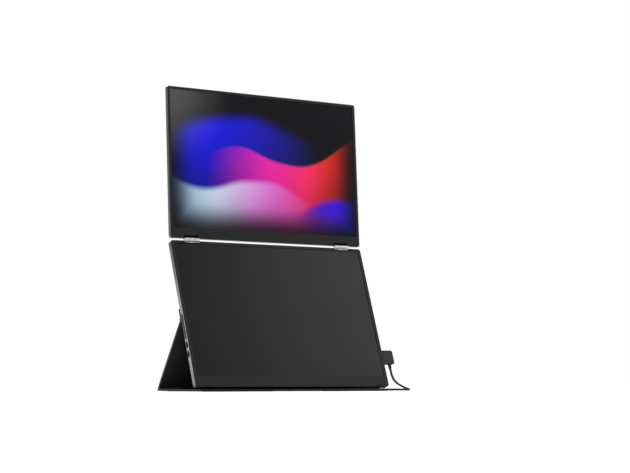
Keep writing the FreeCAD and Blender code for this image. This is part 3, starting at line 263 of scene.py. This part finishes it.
# Cable: from the strain relief down to the floor, round behind the object to its coil, and out of the coil
# at the height of the far plug
CABLE_D = 0.0035
CABLE_SMOOTHNESS = 6
CABLE_EXIT = (0.19095, -0.037597, 0.033995)
CABLE_POINTS = [
    CABLE_EXIT,
    (0.19095, -0.040616, 0.025516),
    (0.1936, -0.0426, 0.0176),
    (0.2002, -0.0444, 0.0112),
    (0.2094, -0.0449, 0.0069),
    (0.2198, -0.0426, 0.0040),
    (0.2304, -0.0360, 0.0023),
    (0.2382, -0.0250, 0.00175),
    (0.2422, -0.0090, 0.00175),
    (0.2424, 0.0105, 0.00175),
    (0.2384, 0.0330, 0.00175),
    (0.2290, 0.0550, 0.00175),
    (0.2140, 0.0732, 0.00175),
    (0.1924, 0.0866, 0.00175),
    (0.1672, 0.0946, 0.00175),
    (0.1420, 0.0966, 0.00175),
]
COIL_CENTRE = (0.118, 0.120)
COIL_OUTER_R = 0.0234
COIL_PITCH = 0.00415
COIL_TURNS = 4.5
COIL_CLIMB_TURNS = 0.5
COIL_START = math.radians(-90)
COIL_STEPS_PER_TURN = 16
TAIL_WAY = (1.0, 0.0)
TAIL_R = 0.060
TAIL_DROP_TO = 0.0033


# Node helpers
def new_material(name, roughness=0.5, metallic=0.0, specular=0.5):
    """An empty material with a Principled shader: returns the material, its tree and the shader."""
    material = bpy.data.materials.new(name)
    material.use_nodes = True
    tree = material.node_tree
    tree.nodes.clear()
    output = tree.nodes.new("ShaderNodeOutputMaterial")
    shader = tree.nodes.new("ShaderNodeBsdfPrincipled")
    shader.inputs["Roughness"].default_value = roughness
    shader.inputs["Metallic"].default_value = metallic
    shader.inputs["Specular IOR Level"].default_value = specular
    tree.links.new(shader.outputs[0], output.inputs["Surface"])
    return material, tree, shader


def object_coordinates(tree, scale=(1, 1, 1), location=(0, 0, 0), rotation=(0, 0, 0)):
    source = tree.nodes.new("ShaderNodeTexCoord")
    mapping = tree.nodes.new("ShaderNodeMapping")
    mapping.inputs["Scale"].default_value = scale
    mapping.inputs["Location"].default_value = location
    mapping.inputs["Rotation"].default_value = rotation
    tree.links.new(source.outputs["Object"], mapping.inputs["Vector"])
    return mapping.outputs["Vector"]


def leaning_coordinates(tree, origin, tilt, scale=1.0):
    """Places in a leaning panel's own frame, from an origin: x across, y inwards and z up it."""
    turn = Matrix.Rotation(tilt, 3, "X")
    return object_coordinates(tree, (scale, scale, scale), -(turn @ (origin * scale)), (tilt, 0, 0))


def noise(tree, vector, scale, detail=3.0):
    node = tree.nodes.new("ShaderNodeTexNoise")
    node.inputs["Scale"].default_value = scale
    node.inputs["Detail"].default_value = detail
    tree.links.new(vector, node.inputs["Vector"])
    return node.outputs["Fac"]


def remap(tree, value, span, to, smooth=False):
    """Stretches a value from one span to another, and keeps it inside."""
    node = tree.nodes.new("ShaderNodeMapRange")
    node.interpolation_type = "SMOOTHSTEP" if smooth else "LINEAR"
    for name, limit in zip(("From Min", "From Max", "To Min", "To Max"), (*span, *to)):
        node.inputs[name].default_value = limit
    tree.links.new(value, node.inputs["Value"])
    return node.outputs["Result"]


def vary(tree, value, around, spread):
    """A number that follows a noise value around a middle."""
    return remap(tree, value, NOISE_SPAN, to=(around - spread, around + spread))


def mix_colours(tree, factor, first, second, blend="MIX"):
    """Mixes two colours: each is a colour or an output socket, and so is the factor."""
    node = tree.nodes.new("ShaderNodeMix")
    node.data_type = "RGBA"
    node.blend_type = blend
    node.clamp_factor = True
    for name, value in (("Factor", factor), ("A", first), ("B", second)):
        sockets = [s for s in node.inputs if s.name == name and s.enabled]
        if isinstance(value, bpy.types.NodeSocket):
            tree.links.new(value, sockets[0])
        else:
            sockets[0].default_value = value
    return [s for s in node.outputs if s.enabled][0]


def maths(tree, operation, *values):
    node = tree.nodes.new("ShaderNodeMath")
    node.operation = operation
    for socket, value in zip(node.inputs, values):
        if isinstance(value, bpy.types.NodeSocket):
            tree.links.new(value, socket)
        else:
            socket.default_value = value
    return node.outputs[0]


def product(tree, first, *others):
    """All the values multiplied. Of masks, the places that are in all of them."""
    result = first
    for value in others:
        result = maths(tree, "MULTIPLY", result, value)
    return result


def squared(tree, value):
    return product(tree, value, value)


def distance_from(tree, value, middle):
    return maths(tree, "ABSOLUTE", maths(tree, "SUBTRACT", value, middle))


def below(tree, value, limit):
    """A mask of the places where a value is less than a limit."""
    return maths(tree, "LESS_THAN", value, limit)


def above(tree, value, limit):
    """A mask of the places where a value is more than a limit."""
    return maths(tree, "GREATER_THAN", value, limit)


def inset(tree, across, up, half_width, half_height):
    """How far in a place is from the nearest edge of a panel."""
    from_side = maths(tree, "SUBTRACT", half_width, maths(tree, "ABSOLUTE", across))
    from_end = maths(tree, "SUBTRACT", half_height, maths(tree, "ABSOLUTE", up))
    return maths(tree, "MINIMUM", from_side, from_end)


def vector_length(tree, vector):
    node = tree.nodes.new("ShaderNodeVectorMath")
    node.operation = "LENGTH"
    tree.links.new(vector, node.inputs[0])
    return node.outputs["Value"]


def split(tree, vector):
    """The X, Y and Z of a vector, as three outputs."""
    node = tree.nodes.new("ShaderNodeSeparateXYZ")
    tree.links.new(vector, node.inputs[0])
    return node.outputs[0], node.outputs[1], node.outputs[2]


def add_bump(tree, shader, height, distance, strength):
    node = tree.nodes.new("ShaderNodeBump")
    node.inputs["Strength"].default_value = strength
    node.inputs["Distance"].default_value = distance
    tree.links.new(height, node.inputs["Height"])
    tree.links.new(node.outputs["Normal"], shader.inputs["Normal"])


def toned(colour, share):
    """A colour made lighter or darker by a share, and no brighter than white."""
    return [min(1.0, c * share) for c in colour] + [1]


# Materials: one short function for each finish
def grained(name, colour, spread, grain_scale, grain_depth, roughness, specular):
    """A fine-grained finish: colour drifts slowly, and a fine grain roughens it and lifts the surface."""
    material, tree, shader = new_material(name, roughness, specular=specular)
    where = object_coordinates(tree)
    drift = noise(tree, where, scale=14.0, detail=4.0)
    grain = noise(tree, where, scale=grain_scale, detail=2.0)
    light = toned(colour, 1 + spread)
    tone = mix_colours(tree, remap(tree, drift, DRIFT_SPAN, to=(0, 1)), toned(colour, 1 - spread), light)
    specked = mix_colours(tree, remap(tree, grain, SPECK_SPAN, to=(0, 0.35)), tone, light)
    tree.links.new(specked, shader.inputs["Base Color"])
    tree.links.new(vary(tree, grain, roughness, spread=0.06), shader.inputs["Roughness"])
    add_bump(tree, shader, grain, grain_depth, strength=0.5)
    return material


def brushed_steel(name, colour, roughness):
    """Brushed metal: streaks along it make it rougher and smoother, and its tone drifts slowly."""
    material, tree, shader = new_material(name, roughness, metallic=1.0)
    streaks = noise(tree, object_coordinates(tree, scale=(60, 900, 900)), scale=1.0)
    drift = noise(tree, object_coordinates(tree), scale=40.0)
    tone = mix_colours(tree, drift, toned(colour, 0.8), toned(colour, 1.2))
    tree.links.new(tone, shader.inputs["Base Color"])
    tree.links.new(vary(tree, streaks, roughness, spread=0.12), shader.inputs["Roughness"])
    add_bump(tree, shader, streaks, distance=0.00004, strength=0.4)
    return material


def blasted_aluminium(name):
    """Anodised, bead-blasted aluminium: a fine even grain, slow tone changes and faint handling marks."""
    material, tree, shader = new_material(name, ALUMINIUM_ROUGHNESS, metallic=1.0)
    where = object_coordinates(tree)
    drift = noise(tree, where, scale=9.0)
    grain = noise(tree, where, scale=2600.0, detail=2.0)
    marks = noise(tree, object_coordinates(tree, scale=(30, 30, 900)), scale=1.0, detail=4.0)
    dark = toned(ALUMINIUM, 0.96)
    light = toned(ALUMINIUM, 1.04)
    rubbed = toned(ALUMINIUM, 1.4)
    tone = mix_colours(tree, remap(tree, drift, DRIFT_SPAN, to=(0, 1)), dark, light)
    worn = mix_colours(tree, remap(tree, marks, MARK_SPAN, to=(0, 0.3)), tone, rubbed)
    tree.links.new(worn, shader.inputs["Base Color"])
    tree.links.new(vary(tree, grain, ALUMINIUM_ROUGHNESS, spread=0.07), shader.inputs["Roughness"])
    add_bump(tree, shader, grain, distance=0.00003, strength=0.5)
    return material


def soft_spot(tree, where, centre, sizes):
    """A mask that is strongest in the middle of an ellipse and fades out past its edge."""
    mapping = tree.nodes.new("ShaderNodeMapping")
    mapping.vector_type = "TEXTURE"
    mapping.inputs["Location"].default_value = (centre[0], 0, centre[1])
    mapping.inputs["Scale"].default_value = (sizes[0], PAINTED_SHEEN_DEPTH, sizes[1])
    tree.links.new(where, mapping.inputs["Vector"])
    away = vector_length(tree, mapping.outputs["Vector"])
    return remap(tree, away, (0, PAINTED_SHEEN_END), to=(1, 0), smooth=True)


def warped(tree, where, amount):
    """The same places, pushed about by a slow noise."""
    swirl = tree.nodes.new("ShaderNodeTexNoise")
    swirl.inputs["Scale"].default_value = PICTURE_WARP_SCALE
    swirl.inputs["Detail"].default_value = 1.0
    tree.links.new(where, swirl.inputs["Vector"])
    push = tree.nodes.new("ShaderNodeVectorMath")
    push.operation = "MULTIPLY_ADD"
    push.inputs[1].default_value = (amount, 0, amount)
    tree.links.new(swirl.outputs["Color"], push.inputs[0])
    tree.links.new(where, push.inputs[2])
    return push.outputs["Vector"]


def wave_mask(tree, across, up, wave):
    """How much of a wave shows: none above its crest, and less and less below it and to its sides."""
    turn = maths(tree, "MULTIPLY_ADD", across, 2 * math.pi / wave["length"], wave["start"])
    swing = maths(tree, "MULTIPLY", maths(tree, "SINE", turn), wave["swing"])
    slope = maths(tree, "MULTIPLY_ADD", across, wave["slope"], wave["height"])
    depth = maths(tree, "SUBTRACT", maths(tree, "ADD", slope, swing), up)
    edge = remap(tree, depth, (0, wave["edge"]), to=(0, 1), smooth=True)
    glow = remap(tree, depth, (0, wave["glow"]), to=(1, 0), smooth=True)
    aside = distance_from(tree, across, wave["middle"])
    side = remap(tree, aside, (WAVE_FULL * wave["reach"], wave["reach"]), to=(1, 0), smooth=True)
    return product(tree, edge, glow, side)


def picture_colour(tree, where):
    """The picture's colours: the waves, dim towards the edges, and a painted sheen, a grey reflection, added
    in one corner.
    """
    across, _, up = split(tree, warped(tree, where, PICTURE_WARP))
    picture = NEAR_BLACK
    for wave in PICTURE_WAVES:
        half = WAVE_BLEND * wave["reach"]
        blend = remap(tree, across, (wave["middle"] - half, wave["middle"] + half), to=(0, 1), smooth=True)
        tone = mix_colours(tree, blend, *wave["colours"])
        picture = mix_colours(tree, wave_mask(tree, across, up, wave), picture, tone)
    flat_across, _, flat_up = split(tree, where)
    from_edge = inset(tree, flat_across, flat_up, PICTURE_HALF_WIDTH, PICTURE_HALF_HEIGHT)
    faded = remap(tree, from_edge, (0, PICTURE_FADE), to=(PICTURE_EDGE_LIGHT, 1), smooth=True)
    picture = mix_colours(tree, faded, NEAR_BLACK, picture)
    # Painted reflection: a grey sheen added to the glow of the picture's upper left corner
    painted_sheen = soft_spot(tree, where, PAINTED_SHEEN_PLACE, PAINTED_SHEEN_SIZES)
    return mix_colours(tree, painted_sheen, picture, PAINTED_CORNER_SHEEN, blend="ADD")


def lit_screen(name, node, tilt):
    """A screen that shows a generic picture of soft waves, under a dim anti-glare surface."""
    material, tree, shader = new_material(name, GLASS_ROUGHNESS, specular=0.08)
    low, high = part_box(node)
    where = leaning_coordinates(tree, (low + high) / 2, tilt, 1 / SCREEN_H)
    picture = picture_colour(tree, where)
    specks = vary(tree, noise(tree, where, PICTURE_SPECK_SCALE, detail=1.0), around=1, spread=PICTURE_SPECKS)
    lit = tree.nodes.new("ShaderNodeVectorMath")
    lit.operation = "SCALE"
    tree.links.new(picture, lit.inputs[0])
    tree.links.new(specks, lit.inputs["Scale"])
    tree.links.new(lit.outputs["Vector"], shader.inputs["Emission Color"])
    shader.inputs["Emission Strength"].default_value = 1.0
    shader.inputs["Base Color"].default_value = GLASS_BLACK
    add_bump(tree, shader, noise(tree, where, scale=700.0, detail=1.0), distance=0.00002, strength=0.3)
    return material


def dark_screen(name):
    """A screen that is switched off: near-black glass with a faint anti-glare grain and smears."""
    material, tree, shader = new_material(name, GLASS_ROUGHNESS, specular=0.12)
    where = object_coordinates(tree)
    smear = noise(tree, where, scale=22.0, detail=4.0)
    grain = noise(tree, where, scale=3000.0, detail=1.0)
    tree.links.new(mix_colours(tree, smear, GLASS_BLACK, GLASS_SMEARED), shader.inputs["Base Color"])
    tree.links.new(vary(tree, smear, around=0.25, spread=0.02), shader.inputs["Roughness"])
    add_bump(tree, shader, grain, distance=0.00002, strength=0.3)
    return material


def bezel_with_seam_shade(name, node, tilt):
    """The bezel's grained black face, with painted seam shade, a darker strip, along its outer edge."""
    material = grained(name, *GRAINED_BEZEL)
    tree = material.node_tree
    base = tree.nodes["Principled BSDF"].inputs["Base Color"]
    face = base.links[0].from_socket
    low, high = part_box(node)
    across, _, up = split(tree, leaning_coordinates(tree, (low + high) / 2, tilt))
    half_height = (high.z - low.z) / (2 * math.cos(tilt))
    from_edge = inset(tree, across, up, (high.x - low.x) / 2, half_height)
    seam_shade = remap(tree, from_edge, (SEAM_SHADE_WIDTH, SEAM_SHADE_WIDTH + SEAM_SHADE_FADE), to=(1, 0))
    # Painted shade of the seam along the outer edge
    tree.links.new(mix_colours(tree, seam_shade, face, SEAM_SHADE_COLOUR), base)
    return material


def circuit_board(name):
    """Green solder mask with paler tracks and small pads."""
    material, tree, shader = new_material(name, roughness=0.38)
    bricks = tree.nodes.new("ShaderNodeTexBrick")
    bricks.inputs["Scale"].default_value = BOARD_SCALE
    bricks.inputs["Mortar Size"].default_value = BOARD_TRACK
    for part, colour in BOARD_COLOURS.items():
        bricks.inputs[part].default_value = colour
    upright = object_coordinates(tree, rotation=(math.radians(90), 0, 0))
    tree.links.new(upright, bricks.inputs["Vector"])
    tree.links.new(bricks.outputs["Color"], shader.inputs["Base Color"])
    add_bump(tree, shader, bricks.outputs["Fac"], distance=0.00003, strength=0.4)
    return material


def stripes(tree, where, axis, scale, distortion):
    node = tree.nodes.new("ShaderNodeTexWave")
    node.bands_direction = axis
    node.inputs["Scale"].default_value = scale
    node.inputs["Distortion"].default_value = distortion
    tree.links.new(where, node.inputs["Vector"])
    return node.outputs["Fac"]


def striped_ribbon(name, film, line):
    """Flexible film with lines along it."""
    material, tree, shader = new_material(name, roughness=0.3)
    lines = stripes(tree, object_coordinates(tree), "Z", scale=320.0, distortion=0.0)
    tree.links.new(mix_colours(tree, lines, film, line), shader.inputs["Base Color"])
    add_bump(tree, shader, lines, distance=0.00002, strength=0.3)
    return material


def woven_band(name):
    """Black hook-and-loop band: a fine cross weave with fuzz."""
    material, tree, shader = new_material(name, roughness=0.85, specular=0.2)
    shader.inputs["Sheen Weight"].default_value = 0.3
    where = object_coordinates(tree)
    weave = product(tree, *[stripes(tree, where, axis, scale=380.0, distortion=1.5) for axis in "XY"])
    tree.links.new(mix_colours(tree, weave, *BAND_COLOURS), shader.inputs["Base Color"])
    add_bump(tree, shader, weave, distance=0.0002, strength=0.7)
    return material


# Feet of the panels: the lower front edge of each, where its own frame starts
def foot_of_display():
    low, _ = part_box("display_back_shell")
    return Vector((0, low.y, low.z + DISPLAY_T * math.sin(DISPLAY_TILT)))


def foot_of_deck():
    low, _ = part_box("deck_bezel")
    return Vector((0, low.y, low.z + DECK_BEZEL_T * math.sin(DECK_TILT)))


def on_deck():
    """Turns a place in the lower panel's own frame into the scene's."""
    return Matrix.Translation(foot_of_deck()) @ Matrix.Rotation(-DECK_TILT, 4, "X")


# Painted shade: masks of the places whose colour is darkened where shade falls
def recess_shade_mask(tree):
    """Where shade is painted: the inside of the two recesses that the barrels turn in."""
    x, y, z = split(tree, leaning_coordinates(tree, foot_of_display(), DISPLAY_TILT))
    aside = distance_from(tree, maths(tree, "ABSOLUTE", x), RECESS_X)
    limits = ((aside, RECESS_HALF_W), (y, RECESS_Y), (z, RECESS_Z))
    return product(tree, *[below(tree, value, limit) for value, limit in limits])


def plate_shade_mask(tree):
    """Where shade is painted on the upper bracket: its arm and plate, above the barrel."""
    _, _, z = split(tree, leaning_coordinates(tree, foot_of_display(), DISPLAY_TILT))
    return above(tree, z, BARREL_TOP_Z)


def stadium_distance(tree, y, z, middle, length, width):
    """How far a place is outside a slot with round ends, on the side of the lower panel."""
    half = length / 2 - width / 2
    past = maths(tree, "MAXIMUM", maths(tree, "SUBTRACT", distance_from(tree, z, middle), half), 0.0)
    across = maths(tree, "SUBTRACT", y, SIDE_LINE_Y)
    squares = maths(tree, "ADD", squared(tree, past), squared(tree, across))
    return maths(tree, "SUBTRACT", maths(tree, "SQRT", squares), width / 2)


def mouth_shade_lines(tree, x, y, z):
    """Painted shade: a dark line round the buttons and the open sockets, on the left side."""
    distances = [stadium_distance(tree, y, z, *mouth) for mouth in SIDE_MOUTHS]
    nearest = distances[0]
    for distance in distances[1:]:
        nearest = maths(tree, "MINIMUM", nearest, distance)
    return product(tree, below(tree, nearest, MOUTH_SHADE_RIM), below(tree, x, 0))


def speaker_hole_shade(tree, y, z):
    """Painted shade on and round the walls of the speaker holes."""
    start = SPEAKER_HOLE_LOW - SPEAKER_HOLE_PITCH / 2
    step = maths(tree, "MODULO", maths(tree, "SUBTRACT", z, start), SPEAKER_HOLE_PITCH)
    up = maths(tree, "SUBTRACT", step, SPEAKER_HOLE_PITCH / 2)
    across = maths(tree, "SUBTRACT", y, SIDE_LINE_Y)
    squares = maths(tree, "ADD", squared(tree, up), squared(tree, across))
    row_half = SPEAKER_HOLES * SPEAKER_HOLE_PITCH / 2
    in_hole = below(tree, squares, (HOLE_SHADE_RADII * SPEAKER_HOLE_R) ** 2)
    in_row = below(tree, distance_from(tree, z, start + row_half), row_half)
    return product(tree, in_hole, in_row)


def side_shade_mask(tree):
    """Where shade is painted on the sides of the lower panel."""
    x, y, z = split(tree, leaning_coordinates(tree, foot_of_deck(), DECK_TILT))
    shades = maths(tree, "MAXIMUM", mouth_shade_lines(tree, x, y, z), speaker_hole_shade(tree, y, z))
    on_side = above(tree, maths(tree, "ABSOLUTE", x), SIDE_X - SIDE_SKIN)
    return product(tree, shades, on_side)


def paint_shade(material, mask_of):
    """Paints shade into a material's colour where a mask says, as the inside of a hole or a seam looks."""
    tree = material.node_tree
    mask = mask_of(tree)
    base = tree.nodes["Principled BSDF"].inputs["Base Color"]
    tree.links.new(mix_colours(tree, mask, base.links[0].from_socket, PAINTED_SHADE), base)


def build_finishes():
    """Every finish of the object, by name."""
    made = {
        "bezel_black_upper": bezel_with_seam_shade("bezel_black_upper", "display_bezel", DISPLAY_TILT),
        "bezel_black_lower": bezel_with_seam_shade("bezel_black_lower", "deck_bezel", DECK_TILT),
        "screen_lit": lit_screen("screen_lit", "display_lcd_cell", DISPLAY_TILT),
        "screen_off": dark_screen("screen_off"),
        "board_green": circuit_board("board_green"),
        "tie_band": woven_band("tie_band"),
    }
    for name in ALUMINIUM_SKINS:
        made[name] = blasted_aluminium(name)
    for table, make in ((GRAINED, grained), (BRUSHED, brushed_steel), (RIBBONS, striped_ribbon)):
        for name, look in table.items():
            made[name] = make(name, *look)
    # Painted shade: inside the barrel recesses, round the mouths and speaker holes on the sides of the lower
    # panel, and on the upper brackets above the barrels
    paint_shade(made["aluminium_upper"], recess_shade_mask)
    paint_shade(made["aluminium_lower"], side_shade_mask)
    paint_shade(made["hinge_steel_upper"], plate_shade_mask)
    return made


def paint(node, material):
    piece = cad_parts[node]
    piece.data.materials.clear()
    piece.data.materials.append(material)


# Pieces that are only in the scene, and the camera
def new_object(name, data):
    """An object in the scene's own collection."""
    thing = bpy.data.objects.new(name, data)
    bpy.context.scene.collection.objects.link(thing)
    return thing


def mesh_object(name, mesh, *materials):
    """An object of a finished mesh, with its faces turned outwards."""
    bmesh.ops.recalc_face_normals(mesh, faces=list(mesh.faces))
    data = bpy.data.meshes.new(name)
    mesh.to_mesh(data)
    mesh.free()
    for material in materials:
        data.materials.append(material)
    return new_object(name, data)


def aim(thing, forward):
    thing.rotation_euler = forward.to_track_quat("-Z", "Y").to_euler()


def build_camera():
    data = bpy.data.cameras.new("camera")
    data.sensor_width = SENSOR_WIDTH
    data.lens = CAMERA_LENS
    data.clip_start, data.clip_end = CAMERA_CLIP
    camera = new_object("camera", data)
    camera.location = CAMERA_PLACE
    level = math.cos(CAMERA_PITCH)
    aim(camera, Vector((math.sin(CAMERA_YAW) * level, math.cos(CAMERA_YAW) * level, math.sin(CAMERA_PITCH))))
    bpy.context.scene.camera = camera


def build_collar(material):
    """The moulded ring on the plug's strain relief."""
    mesh = bmesh.new()
    rings = []
    for i in range(COLLAR_SIDES):
        angle = 2 * math.pi * i / COLLAR_SIDES
        places = [(r * math.cos(angle), r * math.sin(angle), h) for r, h in COLLAR_OUTLINE]
        rings.append([mesh.verts.new(place) for place in places])
    count = len(COLLAR_OUTLINE)
    for i, ring in enumerate(rings):
        following = rings[(i + 1) % COLLAR_SIDES]
        for j in range(count):
            k = (j + 1) % count
            mesh.faces.new((ring[j], following[j], following[k], ring[k])).smooth = k > 0
    collar = mesh_object("relief_collar", mesh, material)
    collar.matrix_world = on_deck() @ Matrix.Translation(COLLAR_PLACE)
    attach(collar, "deck")
    return collar


def coil_points():
    """Control points of the coil's turns: the spiral in on one layer, and out again on the next."""
    steps = COIL_STEPS_PER_TURN
    inner_turn = COIL_TURNS / 2
    widen = 1 / math.cos(math.pi / steps)
    points = []
    for i in range(int(COIL_TURNS * steps) + 1):
        turn = i / steps
        depth = min(turn, COIL_TURNS - turn)
        r = (COIL_OUTER_R - COIL_PITCH * depth) * (widen if 0 < i < COIL_TURNS * steps else 1)
        climb = min(1.0, max(0.0, (turn - inner_turn + COIL_CLIMB_TURNS / 2) / COIL_CLIMB_TURNS))
        smooth = climb * climb * (3 - 2 * climb)
        angle = COIL_START - turn * 2 * math.pi
        points.append((COIL_CENTRE[0] + r * math.cos(angle), COIL_CENTRE[1] + r * math.sin(angle),
                       CABLE_D / 2 + COIL_PITCH * smooth))
    return points


def tail_points(last):
    """The cable's end leaves the top layer and sinks to the height of the plug."""
    drop = last[2] - TAIL_DROP_TO
    turn = math.acos(1 - drop / (2 * TAIL_R))
    along = 2 * TAIL_R * math.sin(turn)
    reach = TAIL_R * math.tan(turn / 2)
    points = []
    for distance, fall in ((reach, 0), (along - reach, drop), (along, drop)):
        points.append((last[0] + TAIL_WAY[0] * distance, last[1] + TAIL_WAY[1] * distance, last[2] - fall))
    return points


def build_cable(material, collar):
    coil = coil_points()
    points = CABLE_POINTS + coil + tail_points(coil[-1])
    data = bpy.data.curves.new("cable", "CURVE")
    data.dimensions = "3D"
    data.bevel_depth = CABLE_D / 2
    data.bevel_resolution = CABLE_SMOOTHNESS
    data.resolution_u = CABLE_SMOOTHNESS
    data.use_fill_caps = True
    spline = data.splines.new("NURBS")
    spline.points.add(len(points) - 1)
    for point, place in zip(spline.points, points):
        point.co = (*place, 1)
    spline.order_u = 3
    spline.use_endpoint_u = True
    data.materials.append(material)
    cable = new_object("cable", data)
    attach(cable, "deck")
    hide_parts("cable_free_run", "cable_coil")


def add_box(mesh, x, y, z, material_index):
    """A box between the ends of x, y and z."""
    corners = [mesh.verts.new((x[i], y[j], z[k])) for i in (0, 1) for j in (0, 1) for k in (0, 1)]
    for face in ((0, 1, 3, 2), (4, 6, 7, 5), (0, 4, 5, 1), (2, 3, 7, 6), (0, 2, 6, 4), (1, 5, 7, 3)):
        mesh.faces.new([corners[i] for i in face]).material_index = material_index


def build_tongue(name, z, moulding, gold):
    """A socket's moulded tongue, with a row of contacts on both of its faces."""
    mesh = bmesh.new()
    sides = (SIDE_LINE_Y - TONGUE_HALF_T, SIDE_LINE_Y + TONGUE_HALF_T)
    add_box(mesh, TONGUE_X, sides, (z - TONGUE_HALF_W, z + TONGUE_HALF_W), 0)
    bmesh.ops.bevel(mesh, geom=list(mesh.edges), offset=TONGUE_ROUND, segments=TONGUE_ROUND_STEPS,
                    affect="EDGES")
    for i in range(CONTACTS):
        middle = z + (i - (CONTACTS - 1) / 2) * CONTACT_PITCH
        ends = (middle - CONTACT_HALF_W, middle + CONTACT_HALF_W)
        for face in sides:
            add_box(mesh, CONTACT_X, (face - CONTACT_PROUD, face + CONTACT_PROUD), ends, 1)
    tongue = mesh_object(name, mesh, moulding, gold)
    tongue.matrix_world = on_deck()
    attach(tongue, "deck")


# Stage and light
def background_rays(tree):
    """1 for the rays that show the background: to the camera, or by way of gloss or glass."""
    path = tree.nodes.new("ShaderNodeLightPath")
    direct = path.outputs["Is Camera Ray"]
    return maths(tree, "MAXIMUM", maths(tree, "MAXIMUM", direct, path.outputs["Is Glossy Ray"]),
                 path.outputs["Is Transmission Ray"])


def build_floor():
    mesh = bpy.data.meshes.new("floor")
    h = FLOOR_HALF
    mesh.from_pydata([(-h, -h, 0), (h, -h, 0), (h, h, 0), (-h, h, 0)], [], [(0, 1, 2, 3)])
    material, tree, shader = new_material("floor_pale", roughness=0.9, specular=0.1)
    shader.inputs["Base Color"].default_value = FLOOR_COLOUR
    shader.inputs["Emission Color"].default_value = WHITE
    away = vector_length(tree, object_coordinates(tree))
    level = remap(tree, away, FLOOR_GLOW_REACH, to=FLOOR_GLOW, smooth=True)
    tree.links.new(product(tree, background_rays(tree), level), shader.inputs["Emission Strength"])
    mesh.materials.append(material)
    new_object("floor", mesh)


def build_world():
    world = bpy.data.worlds.new("studio")
    bpy.context.scene.world = world
    world.use_nodes = True
    tree = world.node_tree
    tree.nodes.clear()
    output = tree.nodes.new("ShaderNodeOutputWorld")
    background = tree.nodes.new("ShaderNodeBackground")
    background.inputs["Color"].default_value = WHITE
    strength = remap(tree, background_rays(tree), (0, 1), to=(WORLD_FILL, 1))
    tree.links.new(strength, background.inputs["Strength"])
    tree.links.new(background.outputs[0], output.inputs["Surface"])


def add_lamp(name, place, target, size, power, seen=True):
    data = bpy.data.lights.new(name, "AREA")
    data.shape = "DISK"
    data.size = size
    data.energy = power
    lamp = new_object(name, data)
    lamp.location = place
    aim(lamp, Vector(target) - Vector(place))
    lamp.visible_camera = seen


build_camera()
build_world()
build_floor()
for lamp_settings in LAMPS:
    add_lamp(**lamp_settings)
finishes = build_finishes()
for finish_name, wearers in WEARERS.items():
    for wearer in wearers:
        paint(wearer, finishes[finish_name])
build_cable(finishes["cable_jacket_black"], build_collar(finishes["relief_rubber"]))
for number, tongue_z in enumerate(TONGUE_PLACES, start=1):
    build_tongue(f"socket_tongue_{number}", tongue_z, finishes["tongue_black"], finishes["contact_gold"])

bpy.context.scene.view_settings.view_transform = "Standard"
